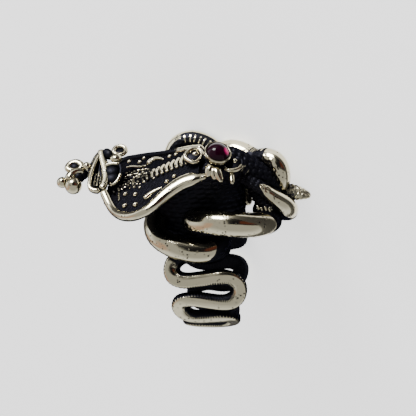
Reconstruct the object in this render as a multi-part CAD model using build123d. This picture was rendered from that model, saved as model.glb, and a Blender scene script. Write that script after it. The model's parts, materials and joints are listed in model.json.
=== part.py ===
from build123d import *
import math
import os

# The ring is modelled as it is worn: X along the finger, +Z out of the top of the finger,
# -Y towards the side that carries the lowest coil. It is laid on its side at the end.

# Band, the snake's body in a winding wave round the finger
finger_radius = 9.0
band_wire = 1.9
band_width = 16.4
band_gap = 0.2
band_strokes = 14
band_first_stroke = 97.5
band_end_gap = 0.1

# Pile of coils on top of the band
pile_length = 26.0
pile_depth = 20.0
pile_height = 14.0
low_rope = 4.0
front_rope = 4.4
cross_rope = 3.4
loop_rope = 3.6
shoulder_rope = 4.6
tail_rope = 2.6
tail_tip = 1.1

# Neck inside the pile
neck_length = 9.6
neck_depth = 8.4

# Hood
hood_length = 20.5
hood_width = 20.5
hood_slope = 24.5
hood_drift = 2.2
hood_tilt = 8.0
hood_droop = 5.0
hood_wall = 1.5
hood_rim = 1.8
scute_width = 4.4
scute_taper = 0.2
scute_drift = 2.4
scute_thickness = 0.9
dot_radius = 0.5

# Head, brows and crest
head_station = 0.94
head_tilt = 27.0
head_yaw = 5.0
head_rise = 2.4
head_shift = 3.25
mouth_length = 9.2
mouth_gape = 2.8
jaw_depth = 3.2
lip_wire = 1.2
lip_bow = 0.3
corner_radius = 0.64
brow_wire = 1.1
brow_curl_radius = 0.9
crest_wire = 1.7
crest_curl_radius = 0.9
crest_near_radius = 1.3
crest_far_radius = 0.85

# Collar
stone_radius = 2.0
stone_height = 1.3
stone_clearance = 0.06
bezel_wall = 0.36
bezel_depth = 1.0
bezel_base = 3.4
medal_radius = 1.35
medal_wire = 0.8
medal_base = 2.7
pupil_radius = 0.68
curl_base = 2.16
leaf_lobe = 1.15
prong_root = 0.92
prong_tip = 0.35
prong_length = 2.4

# The direction, as the ring is worn, that points up when it lies on its far side
rest_up = (-0.388, -0.917, -0.091)

# Share of each run that its two arcs take up
arc_share = 0.46

# How closely the surface is followed when the resting ring is measured
measuring_step = 0.02

# How far the band's strokes reach to the left and the right, as shares of their longest reach,
# at heights from the bottom of the finger, -1, to its top, +1.
band_reaches = (
    ("height", "left", "right"),
    (-1.00, 0.56, 0.56),
    (-0.61, 0.62, 0.68),
    (-0.20, 0.65, 0.90),
    (0.24, 0.98, 0.92),
    (0.46, 0.99, 0.93),
    (0.64, 0.99, 0.50),
    (1.00, 0.50, 0.50),
)

# The low coil hugs the band: x as a share of pile_length, degrees round the finger from the
# near side, and how far its centre stands off the band, as a share of low_rope.
low_coil = (
    ("along", "around", "lift"),
    (-0.19, 118, 0.42),
    (-0.31, 96, 0.40),
    (-0.375, 76, 0.36),
    (-0.335, 59, 0.40),
    (-0.22, 49, 0.50),
    (-0.06, 44.5, 0.46),
    (0.06, 46.5, 0.28),
    (0.12, 60, 0.22),
    (0.12, 80, 0.30),
)

# Ropes of the pile: x, y and height over the band, as shares of pile_length, pile_depth
# and pile_height.
front_coil = (
    ("x", "y", "z"),
    (-0.05, -0.08, 0.13),
    (-0.08, -0.27, 0.15),
    (0.01, -0.38, 0.24),
    (0.11, -0.45, 0.29),
    (0.25, -0.47, 0.28),
    (0.37, -0.40, 0.22),
    (0.45, -0.27, 0.165),
    (0.48, -0.11, 0.12),
)
cross_coil = (
    ("x", "y", "z"),
    (0.21, -0.13, 0.78),
    (0.38, -0.215, 0.66),
    (0.50, -0.20, 0.45),
    (0.59, -0.14, 0.29),
    (0.59, -0.02, 0.14),
    (0.50, 0.08, 0.08),
    (0.32, 0.14, 0.05),
)
raised_coil = (
    ("x", "y", "z"),
    (0.46, 0.12, 0.10),
    (0.52, 0.06, 0.42),
    (0.535, 0.03, 0.64),
    (0.51, 0.08, 0.79),
    (0.43, 0.15, 0.82),
    (0.35, 0.22, 0.72),
    (0.26, 0.29, 0.80),
    (0.16, 0.35, 0.81),
    (0.07, 0.40, 0.70),
    (-0.02, 0.45, 0.82),
    (-0.14, 0.48, 0.87),
    (-0.245, 0.47, 0.78),
    (-0.28, 0.43, 0.56),
    (-0.23, 0.32, 0.30),
    (-0.10, 0.18, 0.12),
)
shoulder = (
    ("x", "y", "z"),
    (0.10, -0.06, 0.96),
    (0.25, -0.06, 0.86),
    (0.37, -0.03, 0.66),
    (0.45, 0.02, 0.50),
    (0.50, 0.05, 0.34),
)
tail_end = (
    ("x", "y", "z"),
    (0.40, 0.06, 0.32),
    (0.54, 0.02, 0.38),
    (0.72, 0.03, 0.40),
)

# Neck sections: height, centre x and y, and half sizes, as shares of pile_height,
# pile_length, pile_depth, neck_length and neck_depth.
neck_sections = (
    ("z", "x", "y", "half_x", "half_y"),
    (-0.13, 0.00, 0.00, 0.78, 0.60),
    (0.12, -0.06, 0.00, 0.90, 0.52),
    (0.38, -0.04, 0.00, 0.88, 0.46),
    (0.60, 0.03, -0.02, 0.72, 0.46),
    (0.80, 0.10, -0.06, 0.56, 0.48),
    (0.98, 0.09, -0.10, 0.42, 0.44),
)

# Place of the hood's root, and of the collar's pieces, in the same shares as the ropes, and
# the way that the stone, the medallion with the curl, and the prong face
hood_root = (-0.005, -0.125, 1.04)
bezel_place = (0.115, -0.225, 1.115)
medal_place = (-0.060, -0.205, 1.050)
curl_place = (0.240, -0.225, 0.925)
prong_place = (0.205, -0.215, 0.76)
stone_axis = (0.25, -0.38, 0.89)
medal_axis = (0.05, -0.45, 0.89)
prong_axis = (0.20, -0.75, 0.62)

# Hood stations from the collar to the head: x as a share of hood_length, and the widths of
# the near and far wings as shares of hood_width.
hood_stations = (
    ("along", "near", "far"),
    (0.00, 0.225, 0.17),
    (0.14, 0.240, 0.26),
    (0.28, 0.315, 0.31),
    (0.42, 0.465, 0.37),
    (0.55, 0.495, 0.45),
    (0.68, 0.430, 0.51),
    (0.80, 0.280, 0.57),
    (0.91, 0.080, 0.52),
)

# Dots on the wings: x as a share of hood_length, distance from the ladder as a share of the
# wing, positive on the far side, and size as a share of dot_radius.
hood_dots = (
    ("along", "across", "size"),
    (0.690, -0.35, 1.0),
    (0.588, -0.43, 1.0),
    (0.672, -0.72, 1.0),
    (0.568, -0.73, 1.0),
    (0.297, -0.58, 1.0),
    (0.233, -0.54, 1.0),
    (0.744, 0.86, 0.9),
    (0.626, 0.73, 0.9),
    (0.591, 0.86, 0.8),
    (0.322, 0.70, 0.9),
    (0.262, 0.73, 0.8),
)
scute_count = 13
scute_first = 0.16
scute_last = 0.80

# Lobes of the leaf pendant round the point under the bezel, in shares of leaf_lobe
leaf_lobes = (
    ("x", "y", "z"),
    (0.0, 0.0, 0.0),
    (-0.95, 0.1, -0.7),
    (0.85, 0.1, -0.8),
    (0.0, 0.1, -1.7),
)
leaf_place = (0.085, -0.275, 0.92)

# The jaws and the throat between them, each lofted through two pointed ovals: length and gape
# as shares of mouth_length and mouth_gape, what the lip adds to both as a share of lip_wire,
# and depth as a share of jaw_depth.
jaw_sections = (
    ("length", "gape", "lip", "depth"),
    (1.00, 1.00, 0.80, 0.00),
    (0.66, 0.90, 0.00, 1.00),
)
throat_sections = (
    ("length", "gape", "lip", "depth"),
    (0.86, 0.80, 0.00, -0.25),
    (0.50, 0.35, 0.00, 0.55),
)

# Brow loops and crest, in the mouth's own frame: along the mouth towards the far corner,
# across it towards the crest, and out of it, as shares of mouth_length.
brow_stem = (
    ("along", "across", "out"),
    (0.36, -0.08, 0.00),
    (0.38, -0.21, 0.09),
    (0.31, -0.35, 0.12),
    (0.18, -0.43, 0.11),
)
near_brow = (
    ("along", "across", "out"),
    (0.02, -0.14, 0.06),
    (0.06, -0.29, 0.12),
    (0.00, -0.42, 0.12),
    (-0.14, -0.45, 0.10),
    (-0.28, -0.39, 0.05),
    (-0.35, -0.26, 0.01),
    (-0.33, -0.12, -0.04),
)
crest_stem = (
    ("along", "across", "out"),
    (0.17, 0.04, -0.12),
    (0.16, 0.19, -0.05),
    (0.13, 0.36, -0.06),
    (0.06, 0.53, -0.10),
    (-0.07, 0.65, -0.14),
    (-0.20, 0.61, -0.18),
)
crest_spur = (
    ("along", "across", "out"),
    (0.00, 0.61, -0.13),
    (-0.06, 0.70, -0.13),
    (-0.087, 0.778, -0.13),
)
rim_end = (-0.53, -0.10, -0.06)
brow_curl = (0.39, -0.44, 0.13)
crest_curl = (0.24, 0.58, -0.08)
crest_near_ball = (-0.21, 0.60, -0.18)
crest_far_ball = (-0.087, 0.778, -0.13)


def rows(table):
    """The rows of a table, without its column names."""
    return table[1:]


def rounded_route(points):
    """Straight runs joined by tangent arcs, each as large as its two runs allow."""
    radii = []
    for before, corner, after in zip(points, points[1:], points[2:]):
        first = corner - before
        second = after - corner
        run = min(first.length, second.length)
        turn = math.radians(first.get_angle(second))
        radii.append(arc_share * run / math.tan(turn / 2))
    return FilletPolyline(*points, radius=radii)


def rope(points, diameter):
    """A round rope along a rounded route."""
    route = rounded_route(points)
    start = Plane(origin=route @ 0, z_dir=route % 0)
    return sweep(start * Circle(diameter / 2), path=route)


def ball(centre, radius):
    return Pos(*centre) * Sphere(radius)


def band_point(along, angle, radius):
    """A point on a cylinder round the finger, with the angle from its near side."""
    turn = math.radians(angle)
    return Vector(along, -radius * math.cos(turn), radius * math.sin(turn))


def between(table, place, column):
    """A column's value at a place in the table's first column, in a straight line between rows."""
    body = rows(table)
    for first, second in zip(body, body[1:]):
        if place <= second[0]:
            share = (place - first[0]) / (second[0] - first[0])
            return first[column] + share * (second[column] - first[column])
    return body[-1][column]


def band_turn(side, angle, radius):
    """Where the wave turns back, at the left (-1) or the right (+1) end of a stroke."""
    share = between(band_reaches, math.sin(math.radians(angle)), 1 if side < 0 else 2)
    return band_point(side * share * (band_width - band_wire) / 2, angle, radius)


def make_band():
    """The wave: strokes along the finger, joined by round loops at each side.

    Its two ends stop short of each other in the middle of the first stroke, inside the neck.
    """
    radius = finger_radius + band_wire / 2
    pitch = 360 / band_strokes
    spare = radius * math.radians(pitch) - band_wire - band_gap
    lean = math.degrees(spare / 2 / radius)
    points = []
    for stroke in range(band_strokes):
        angle = band_first_stroke - stroke * pitch
        side = 1 if stroke % 2 == 0 else -1
        points.append(band_turn(side, angle - lean, radius))
        points.append(band_turn(-side, angle + lean, radius))
    middle = (points[0] + points[1]) / 2
    half_gap = (points[1] - points[0]) * (band_end_gap / 2)
    return rope([middle + half_gap] + points[1:] + [points[0], middle - half_gap], band_wire)


def seat_radius():
    return finger_radius + band_wire


def make_low_coil():
    points = []
    for along, around, lift in rows(low_coil):
        points.append(band_point(along * pile_length, around, seat_radius() + lift * low_rope))
    return rope(points, low_rope)


def pile_point(x, y, z):
    return Vector(x * pile_length, y * pile_depth, seat_radius() + z * pile_height)


def pile_rope(table, diameter):
    return rope([pile_point(*row) for row in rows(table)], diameter)


def make_tail():
    """The tail's end, tapering to a blunt tip."""
    points = [pile_point(*row) for row in rows(tail_end)]
    root = Plane(origin=points[0], z_dir=points[1] - points[0])
    bend = Plane(origin=points[1], z_dir=points[2] - points[0])
    tip = Plane(origin=points[2], z_dir=points[2] - points[1])
    sections = [
        root * Circle(tail_rope / 2),
        bend * Circle(tail_rope / 2),
        tip * Circle(tail_tip / 2),
    ]
    return loft(sections)


def make_neck():
    sections = []
    for z, x, y, half_x, half_y in rows(neck_sections):
        plane = Plane(origin=pile_point(x, y, z))
        sections.append(plane * Ellipse(half_x * neck_length, half_y * neck_depth))
    return loft(sections)


def spine_point(along):
    """A point on the hood's middle line, where the ladder of scutes runs."""
    step = along * hood_length
    drop = step * math.tan(math.radians(hood_slope))
    return pile_point(*hood_root) + Vector(-step, hood_drift * along, -drop)


def wing_direction(side):
    """The way a wing runs from the middle line: side is -1 near, +1 far."""
    angle = math.radians(hood_tilt - side * hood_droop)
    return Vector(0, side * math.cos(angle), side * math.sin(angle))


def wing_width(along, side):
    """The width of a wing between its stations."""
    return hood_width * between(hood_stations, along, 1 if side < 0 else 2)


def wing_point(along, across):
    """A point on the hood's face: across is a share of the wing, positive on the far side."""
    side = 1 if across > 0 else -1
    return spine_point(along) + wing_direction(side) * (wing_width(along, side) * abs(across))


def make_hood():
    """A thin bowed plate, lofted through its stations."""
    wall = Vector(0, 0, -hood_wall)
    sections = []
    for along, near, far in rows(hood_stations):
        middle = spine_point(along)
        near_tip = middle + wing_direction(-1) * (near * hood_width)
        far_tip = middle + wing_direction(1) * (far * hood_width)
        face = ThreePointArc(near_tip, middle, far_tip)
        back = ThreePointArc(far_tip + wall, middle + wall, near_tip + wall)
        edges = [face, Line(far_tip, far_tip + wall), back, Line(near_tip + wall, near_tip)]
        sections.append(make_face(edges))
    return loft(sections)


def make_rim(side):
    """The rolled rim of one wing; the near one runs on to the mouth's corner."""
    drop = Vector(0, 0, -hood_wall / 2)
    points = [wing_point(row[0], side) + drop for row in rows(hood_stations)]
    if side < 0:
        points[-1] = mouth_point(*rim_end)
    return rope(points, hood_rim)


def make_scutes():
    """Short bars across the middle line."""
    bars = []
    for index in range(scute_count):
        along = scute_first + (scute_last - scute_first) * index / (scute_count - 1)
        middle = spine_point(along) + wing_direction(1) * (scute_drift * (0.5 - along))
        plane = Plane(origin=middle, z_dir=wing_direction(1))
        bar = Cylinder(scute_thickness / 2, scute_width * (1 - scute_taper * along))
        bars.append(plane * bar)
    return bars


def make_dots():
    return [ball(wing_point(along, across), size * dot_radius) for along, across, size in rows(hood_dots)]


def mouth_plane():
    """The mouth's own frame: x along the mouth, y towards the crest, z out of it."""
    tilt = math.radians(head_tilt)
    yaw = math.radians(head_yaw)
    out = Vector(0, -math.sin(tilt), math.cos(tilt))
    along = Vector(-math.sin(yaw), math.cos(yaw) * math.cos(tilt), math.cos(yaw) * math.sin(tilt))
    origin = spine_point(head_station) + out * head_rise + along * head_shift
    return Plane(origin=origin, x_dir=along, z_dir=out)


def lens(length, gape, lip, depth):
    """A pointed oval across the mouth."""
    half = (length * mouth_length + lip * lip_wire) / 2
    bulge = (gape * mouth_gape + lip * lip_wire) / 2
    level = -depth * jaw_depth
    left = ThreePointArc((-half, 0, level), (0, bulge, level), (half, 0, level))
    right = ThreePointArc((half, 0, level), (0, -bulge, level), (-half, 0, level))
    return make_face([left, right])


def boat(table):
    """A boat-shaped form through two pointed ovals."""
    return mouth_plane() * loft([lens(*row) for row in rows(table)], ruled=True)


def make_lips():
    half = mouth_length / 2
    lips = []
    for side in (1, -1):
        route = ThreePointArc((-half, 0, 0), (0, side * mouth_gape / 2, lip_bow), (half, 0, 0))
        start = Plane(origin=route @ 0, z_dir=route % 0)
        lips.append(mouth_plane() * sweep(start * Circle(lip_wire / 2), path=route))
    for end in (-half, half):
        lips.append(mouth_plane() * ball((end, 0, 0), corner_radius))
    return lips


def mouth_point(along, across, out):
    return mouth_plane().from_local_coords(Vector(along, across, out) * mouth_length)


def mouth_rope(table, diameter):
    return rope([mouth_point(*row) for row in rows(table)], diameter)


def make_brows():
    """The loops beside the mouth: a ring on its stem at the far side and a bow at the near one."""
    curl = Plane(origin=mouth_point(*brow_curl), z_dir=mouth_plane().z_dir)
    pieces = [mouth_rope(brow_stem, brow_wire), mouth_rope(near_brow, brow_wire)]
    pieces.append(curl * Torus(brow_curl_radius, brow_wire / 2))
    return pieces


def make_crest():
    curl = Plane(origin=mouth_point(*crest_curl), z_dir=mouth_plane().z_dir)
    pieces = [mouth_rope(crest_stem, crest_wire), mouth_rope(crest_spur, crest_wire)]
    pieces.append(curl * Torus(crest_curl_radius, crest_wire / 2))
    pieces.append(ball(mouth_point(*crest_near_ball), crest_near_radius))
    pieces.append(ball(mouth_point(*crest_far_ball), crest_far_radius))
    return pieces


def bezel_plane():
    """The stone's seat: z is the stone's axis, out of the collar."""
    return Plane(origin=pile_point(*bezel_place), z_dir=stone_axis)


def make_collar():
    """What the collar carries: bezel post, medallion, curl, leaf and prong."""
    outer = stone_radius + stone_clearance + bezel_wall
    seat = bezel_plane()
    post = seat * Pos(0, 0, -bezel_base / 2) * Cylinder(outer, bezel_base + bezel_depth)
    pieces = [post]
    medal = Plane(origin=pile_point(*medal_place), z_dir=medal_axis)
    pieces.append(medal * Torus(medal_radius, medal_wire / 2))
    pieces.append(medal * Pos(0, 0, -medal_base / 2) * Cylinder(medal_radius, medal_base))
    pieces.append(medal * Sphere(pupil_radius))
    curl = Plane(origin=pile_point(*curl_place), z_dir=medal_axis)
    pieces.append(curl * Torus(medal_radius, medal_wire / 2))
    pieces.append(curl * Pos(0, 0, -curl_base / 2) * Cylinder(medal_radius, curl_base))
    for x, y, z in rows(leaf_lobes):
        pieces.append(ball(pile_point(*leaf_place) + Vector(x, y, z) * leaf_lobe, leaf_lobe))
    prong = Plane(origin=pile_point(*prong_place), z_dir=prong_axis)
    pieces.append(prong * Cone(prong_root, prong_tip, prong_length))
    return pieces


def make_pocket():
    """The cup that the stone drops into."""
    depth = bezel_depth + stone_clearance
    return bezel_plane() * Pos(0, 0, -depth / 2 + bezel_depth / 2) * Cylinder(
        stone_radius + stone_clearance, depth
    )


def make_garnet():
    """A round cabochon: a short girdle under a low dome."""
    girdle = bezel_depth
    dome_radius = (stone_radius**2 + stone_height**2) / (2 * stone_height)
    dome = Pos(0, 0, girdle + stone_height - dome_radius) * Sphere(dome_radius)
    blank = Pos(0, 0, (girdle + stone_height) / 2) * Cylinder(stone_radius, girdle + stone_height)
    return bezel_plane() * Pos(0, 0, -bezel_depth / 2) * (blank & dome)


def make_head():
    """The open jaws with their lips, brows and crest."""
    jaws = boat(jaw_sections) - boat(throat_sections)
    return jaws.fuse(*make_lips()).fuse(*make_crest()).fuse(*make_brows())


def make_cowl():
    """The hood with its rims, ladder and dots."""
    return make_hood().fuse(make_rim(-1), make_rim(1), *make_scutes(), *make_dots())


def make_pile():
    """The coils round the neck, with what the collar carries."""
    coils = [make_low_coil(), pile_rope(front_coil, front_rope), pile_rope(cross_coil, cross_rope)]
    coils += [pile_rope(raised_coil, loop_rope), pile_rope(shoulder, shoulder_rope), make_tail()]
    return make_neck().fuse(*coils).fuse(*make_collar())


def make_silver():
    """Everything that is cast in one, with the stone's cup cut out."""
    return make_band().fuse(make_pile()).fuse(make_cowl()).fuse(make_head()) - make_pocket()


def lay_down(silver, garnet):
    """Both solids as they rest, on the floor with the origin under their middle."""
    rest = Plane(origin=(0, 0, 0), x_dir=(1, 0, 0), z_dir=rest_up).location.inverse()
    silver = rest * silver
    corners = silver.tessellate(measuring_step)[0]
    across = [corner.X for corner in corners]
    deep = [corner.Y for corner in corners]
    lowest = min(corner.Z for corner in corners)
    seat = Pos(-(min(across) + max(across)) / 2, -(min(deep) + max(deep)) / 2, -lowest)
    return seat * silver, seat * (rest * garnet)


silver_casting, garnet = lay_down(make_silver(), make_garnet())
os.makedirs("parts", exist_ok=True)
export_step(silver_casting, "parts/silver_casting.step")
export_step(garnet, "parts/garnet.step")
print("silver", round(silver_casting.volume, 1), "mm3, garnet", round(garnet.volume, 1), "mm3")
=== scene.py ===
import json
import math

import bmesh
import bpy
from bpy.props import FloatProperty, FloatVectorProperty, IntProperty, PointerProperty
from mathutils import Matrix, Vector, noise
from mathutils.bvhtree import BVHTree


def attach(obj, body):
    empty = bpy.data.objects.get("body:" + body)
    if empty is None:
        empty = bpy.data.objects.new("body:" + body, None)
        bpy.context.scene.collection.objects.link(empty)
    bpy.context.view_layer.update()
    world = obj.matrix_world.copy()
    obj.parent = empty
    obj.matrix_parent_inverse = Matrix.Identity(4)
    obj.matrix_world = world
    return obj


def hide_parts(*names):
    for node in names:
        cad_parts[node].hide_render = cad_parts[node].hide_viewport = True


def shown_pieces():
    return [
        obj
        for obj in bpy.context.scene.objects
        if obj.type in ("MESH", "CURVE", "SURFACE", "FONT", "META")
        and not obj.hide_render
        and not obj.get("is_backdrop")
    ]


bl_info = {
    "name": "Cobra ring",
    "version": (1, 0, 0),
    "blender": (4, 5, 0),
    "location": "3D Viewport > Sidebar > Ring",
    "description": "Builds an oxidised silver cobra ring with a garnet round its packed frame",
    "category": "Object",
}

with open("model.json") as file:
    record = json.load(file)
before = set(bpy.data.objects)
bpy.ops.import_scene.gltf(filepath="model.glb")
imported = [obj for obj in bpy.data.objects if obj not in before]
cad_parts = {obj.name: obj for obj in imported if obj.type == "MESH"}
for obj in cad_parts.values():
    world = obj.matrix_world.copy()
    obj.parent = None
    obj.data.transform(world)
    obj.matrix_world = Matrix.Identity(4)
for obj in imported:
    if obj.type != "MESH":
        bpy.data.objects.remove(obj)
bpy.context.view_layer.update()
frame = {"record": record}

# The ring is modelled as it is worn, in millimetres: X along the finger, +Z out of the top of
# the finger, -Y towards the lowest coil. to_row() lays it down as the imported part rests.
REST_UP = (-0.388, -0.917, -0.091)
MILLIMETRE = 0.001

# Shares of each run that the two arcs at its ends take up
ARC_SHARE = 0.46

# Places where the wave turns back: height from the bottom of the finger, -1, to its top, +1,
# and how far the strokes reach to the left and the right, as shares of the longest reach.
BAND_REACHES = (
    (-1.00, 0.56, 0.56),
    (-0.61, 0.62, 0.68),
    (-0.20, 0.65, 0.90),
    (0.24, 0.98, 0.92),
    (0.46, 0.99, 0.93),
    (0.64, 0.99, 0.50),
    (1.00, 0.50, 0.50),
)

# Low coil: along the finger as a share of the pile's length, degrees round the finger, lift off
# the band as a share of the coil.
LOW_COIL = (
    (-0.19, 118, 0.42),
    (-0.31, 96, 0.40),
    (-0.375, 76, 0.36),
    (-0.335, 59, 0.40),
    (-0.22, 49, 0.50),
    (-0.06, 44.5, 0.46),
    (0.06, 46.5, 0.28),
    (0.12, 60, 0.22),
    (0.12, 80, 0.30),
)

# Ropes of the pile: x, y and height over the band, as shares of its length, depth and height.
FRONT_COIL = (
    (-0.05, -0.08, 0.13),
    (-0.08, -0.27, 0.15),
    (0.01, -0.38, 0.24),
    (0.11, -0.45, 0.29),
    (0.25, -0.47, 0.28),
    (0.37, -0.40, 0.22),
    (0.45, -0.27, 0.165),
    (0.48, -0.11, 0.12),
)
CROSS_COIL = (
    (0.21, -0.13, 0.78),
    (0.38, -0.215, 0.66),
    (0.50, -0.20, 0.45),
    (0.59, -0.14, 0.29),
    (0.59, -0.02, 0.14),
    (0.50, 0.08, 0.08),
    (0.32, 0.14, 0.05),
)
RAISED_COIL = (
    (0.46, 0.12, 0.10),
    (0.52, 0.06, 0.42),
    (0.535, 0.03, 0.64),
    (0.51, 0.08, 0.79),
    (0.43, 0.15, 0.82),
    (0.35, 0.22, 0.72),
    (0.26, 0.29, 0.80),
    (0.16, 0.35, 0.81),
    (0.07, 0.40, 0.70),
    (-0.02, 0.45, 0.82),
    (-0.14, 0.48, 0.87),
    (-0.245, 0.47, 0.78),
    (-0.28, 0.43, 0.56),
    (-0.23, 0.32, 0.30),
    (-0.10, 0.18, 0.12),
)
SHOULDER = (
    (0.10, -0.06, 0.96),
    (0.25, -0.06, 0.86),
    (0.37, -0.03, 0.66),
    (0.45, 0.02, 0.50),
    (0.50, 0.05, 0.34),
)
TAIL_END = ((0.46, 0.05, 0.36), (0.58, 0.02, 0.40), (0.66, 0.01, 0.385), (0.733, 0.02, 0.345))

# Middle of the coils in millimetres, which the raised coil faces away from
PILE_MIDDLE = (3.0, 0.5, 12.0)

# Stretches of the raised coil, as shares of its length: where each begins and is full, then where
# it is over and was still full. The arch is dark inside, and the dip has bright teeth.
RAISED_ARCH = ((0.52, 0.56), (0.71, 0.66))
RAISED_DIP = ((0.262, 0.285), (0.385, 0.36))

# Dark fold that joins the neck to the cross coil, its bright claws, how far each claw reaches, and
# the strand beside the neck: all in the ropes' shares
FOLD = (
    (0.345, -0.100, 0.660),
    (0.368, -0.130, 0.540),
    (0.405, -0.165, 0.435),
    (0.440, -0.190, 0.355),
    (0.475, -0.210, 0.285),
)
FOLD_CLAWS = (
    (0.378, -0.245, 0.400),
    (0.403, -0.250, 0.375),
    (0.430, -0.250, 0.395),
    (0.456, -0.245, 0.370),
)
CLAW_REACH = (0.008, -0.020, -0.075)
INNER_STRAND = ((0.285, -0.02, 0.62), (0.30, -0.03, 0.44), (0.295, -0.04, 0.24))

# Neck sections: height, centre and half sizes in the same shares.
NECK_SECTIONS = (
    (-0.13, -0.025, 0.00, 0.86, 0.62),
    (0.12, -0.06, 0.00, 0.90, 0.52),
    (0.38, -0.04, 0.00, 0.88, 0.46),
    (0.60, 0.03, -0.02, 0.72, 0.46),
    (0.80, 0.10, -0.06, 0.56, 0.48),
    (0.98, 0.09, -0.10, 0.42, 0.44),
)

# Collar places, in the ropes' shares
HOOD_ROOT = (-0.005, -0.125, 1.04)
BEZEL_PLACE = (0.115, -0.225, 1.115)
MEDAL_PLACE = (-0.060, -0.205, 1.050)
CURL_PLACE = (0.225, -0.215, 0.930)
STONE_AXIS = (0.25, -0.38, 0.89)
MEDAL_AXIS = (0.05, -0.45, 0.89)
MEDAL_EYE = (
    (-0.121, -0.200, 1.052),
    (-0.095, -0.147, 1.090),
    (-0.056, -0.110, 1.112),
    (-0.014, -0.120, 1.100),
    (0.006, -0.169, 1.065),
    (-0.011, -0.228, 1.022),
    (-0.046, -0.258, 1.003),
    (-0.089, -0.238, 1.022),
)
MEDAL_PUPIL = (-0.043, -0.160, 1.066)
CURL_ARC = (
    (0.146, -0.250, 0.960),
    (0.175, -0.290, 0.931),
    (0.223, -0.297, 0.921),
    (0.269, -0.269, 0.937),
    (0.287, -0.218, 0.972),
    (0.271, -0.170, 1.009),
)
CURL_BUMP = (0.228, -0.195, 0.985)
LEAF_ROOT = (0.083, -0.255, 0.975)
# Tips of the leaf's lobes, and how much each lobe swells in millimetres
LEAF_TIPS = (
    ((0.046, -0.372, 0.890), 0.75),
    ((0.103, -0.400, 0.870), 0.55),
    ((0.153, -0.420, 0.850), 0.60),
)
PRONG = ((0.205, -0.27, 0.90), (0.214, -0.345, 0.855), (0.222, -0.40, 0.81))

# Hood stations: share of its length, and the near and far wings as shares of its width.
HOOD_STATIONS = (
    (0.00, 0.225, 0.17),
    (0.14, 0.240, 0.26),
    (0.28, 0.315, 0.31),
    (0.42, 0.465, 0.37),
    (0.55, 0.495, 0.45),
    (0.68, 0.430, 0.51),
    (0.80, 0.280, 0.57),
    (0.91, 0.080, 0.52),
)

# Ends of the near rim: on the pile in the ropes' shares, and in the mouth's frame
RIM_START = (0.045, -0.350, 0.885)
RIM_END = (-0.50, -0.065, 0.0)

# Belly scutes: how many, the first one's place, their pitch, and where they turn small and thin
SCUTES = 16
SCUTE_START = 0.135
SCUTE_PITCH = 0.045
SMALL_SCUTES = 0.53

# Patch of low lumps: its rows and columns, and where the noise is read that shifts each lump
# along and across the hood and swells it
LUMP_ROWS = 6
LUMP_COLUMNS = 10
LUMP_NOISE = ((9.321, -1.531, -7.951), (0.0, 0.0, 0.0), (6.327, 0.167, -2.672))

# Raised work on the wings: along the hood, across the wing (positive on the far side), and size
# as a share of the dot's radius.
HOOD_DOTS = (
    (0.690, -0.35, 1.0),
    (0.588, -0.43, 1.0),
    (0.672, -0.72, 1.1),
    (0.568, -0.73, 1.1),
    (0.614, -0.19, 0.6),
    (0.559, -0.25, 0.6),
    (0.433, -0.14, 0.6),
    (0.297, -0.58, 1.0),
    (0.233, -0.54, 1.0),
    (0.744, 0.84, 0.9),
    (0.626, 0.73, 0.9),
    (0.591, 0.86, 0.8),
    (0.322, 0.70, 0.9),
    (0.262, 0.73, 0.8),
)
NEAR_TEAR = ((0.490, -0.68), (0.442, -0.60), (0.398, -0.58), (0.335, -0.655))
FAR_TEAR = ((0.520, 0.54), (0.515, 0.68), (0.470, 0.76), (0.417, 0.72), (0.376, 0.63))
NEAR_CURL = ((0.765, -0.20), (0.760, -0.38), (0.742, -0.58))
WAVY_LINE = ((0.758, 0.65), (0.708, 0.66), (0.652, 0.60), (0.596, 0.52), (0.546, 0.52))

# Lips in the mouth's frame, as shares of its length: along it and across it towards the crest.
CREST_LIP = (
    (0.40, 0.005), (0.353, 0.022), (0.256, 0.071), (0.083, 0.128), (-0.09, 0.174),
    (-0.263, 0.200), (-0.400, 0.205), (-0.490, 0.165), (-0.525, 0.080), (-0.530, -0.020),
)
BROW_LIP = (
    (0.510, -0.010), (0.322, -0.030), (0.141, -0.080), (-0.038, -0.112),
    (-0.215, -0.122), (-0.362, -0.095), (-0.508, -0.050),
)

# Folds inside the mouth, then the brow loops and crest: in the same frame, and how far out of it.
MOUTH_RIDGES = (
    ((0.24, 0.010, -0.05), (0.05, 0.020, -0.06), (-0.15, 0.045, -0.07), (-0.38, 0.070, -0.05)),
    ((0.10, -0.020, -0.06), (-0.10, -0.010, -0.08), (-0.33, 0.005, -0.06)),
    ((-0.02, 0.085, -0.05), (-0.20, 0.120, -0.06), (-0.40, 0.130, -0.04)),
)
BROW_BAR = ((0.05, -0.10, 0.08), (0.074, -0.262, 0.12), (0.041, -0.404, 0.12))
BROW_BLOCK = ((0.47, -0.07, 0.00), (0.40, -0.15, 0.04), (0.26, -0.24, 0.06))
NEAR_BROW = (
    (0.057, -0.405, 0.10),
    (-0.073, -0.448, 0.09),
    (-0.221, -0.420, 0.06),
    (-0.339, -0.341, 0.03),
    (-0.394, -0.262, 0.00),
    (-0.302, -0.180, -0.02),
)
BROW_CURL = (0.385, -0.41, 0.12)
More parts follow.
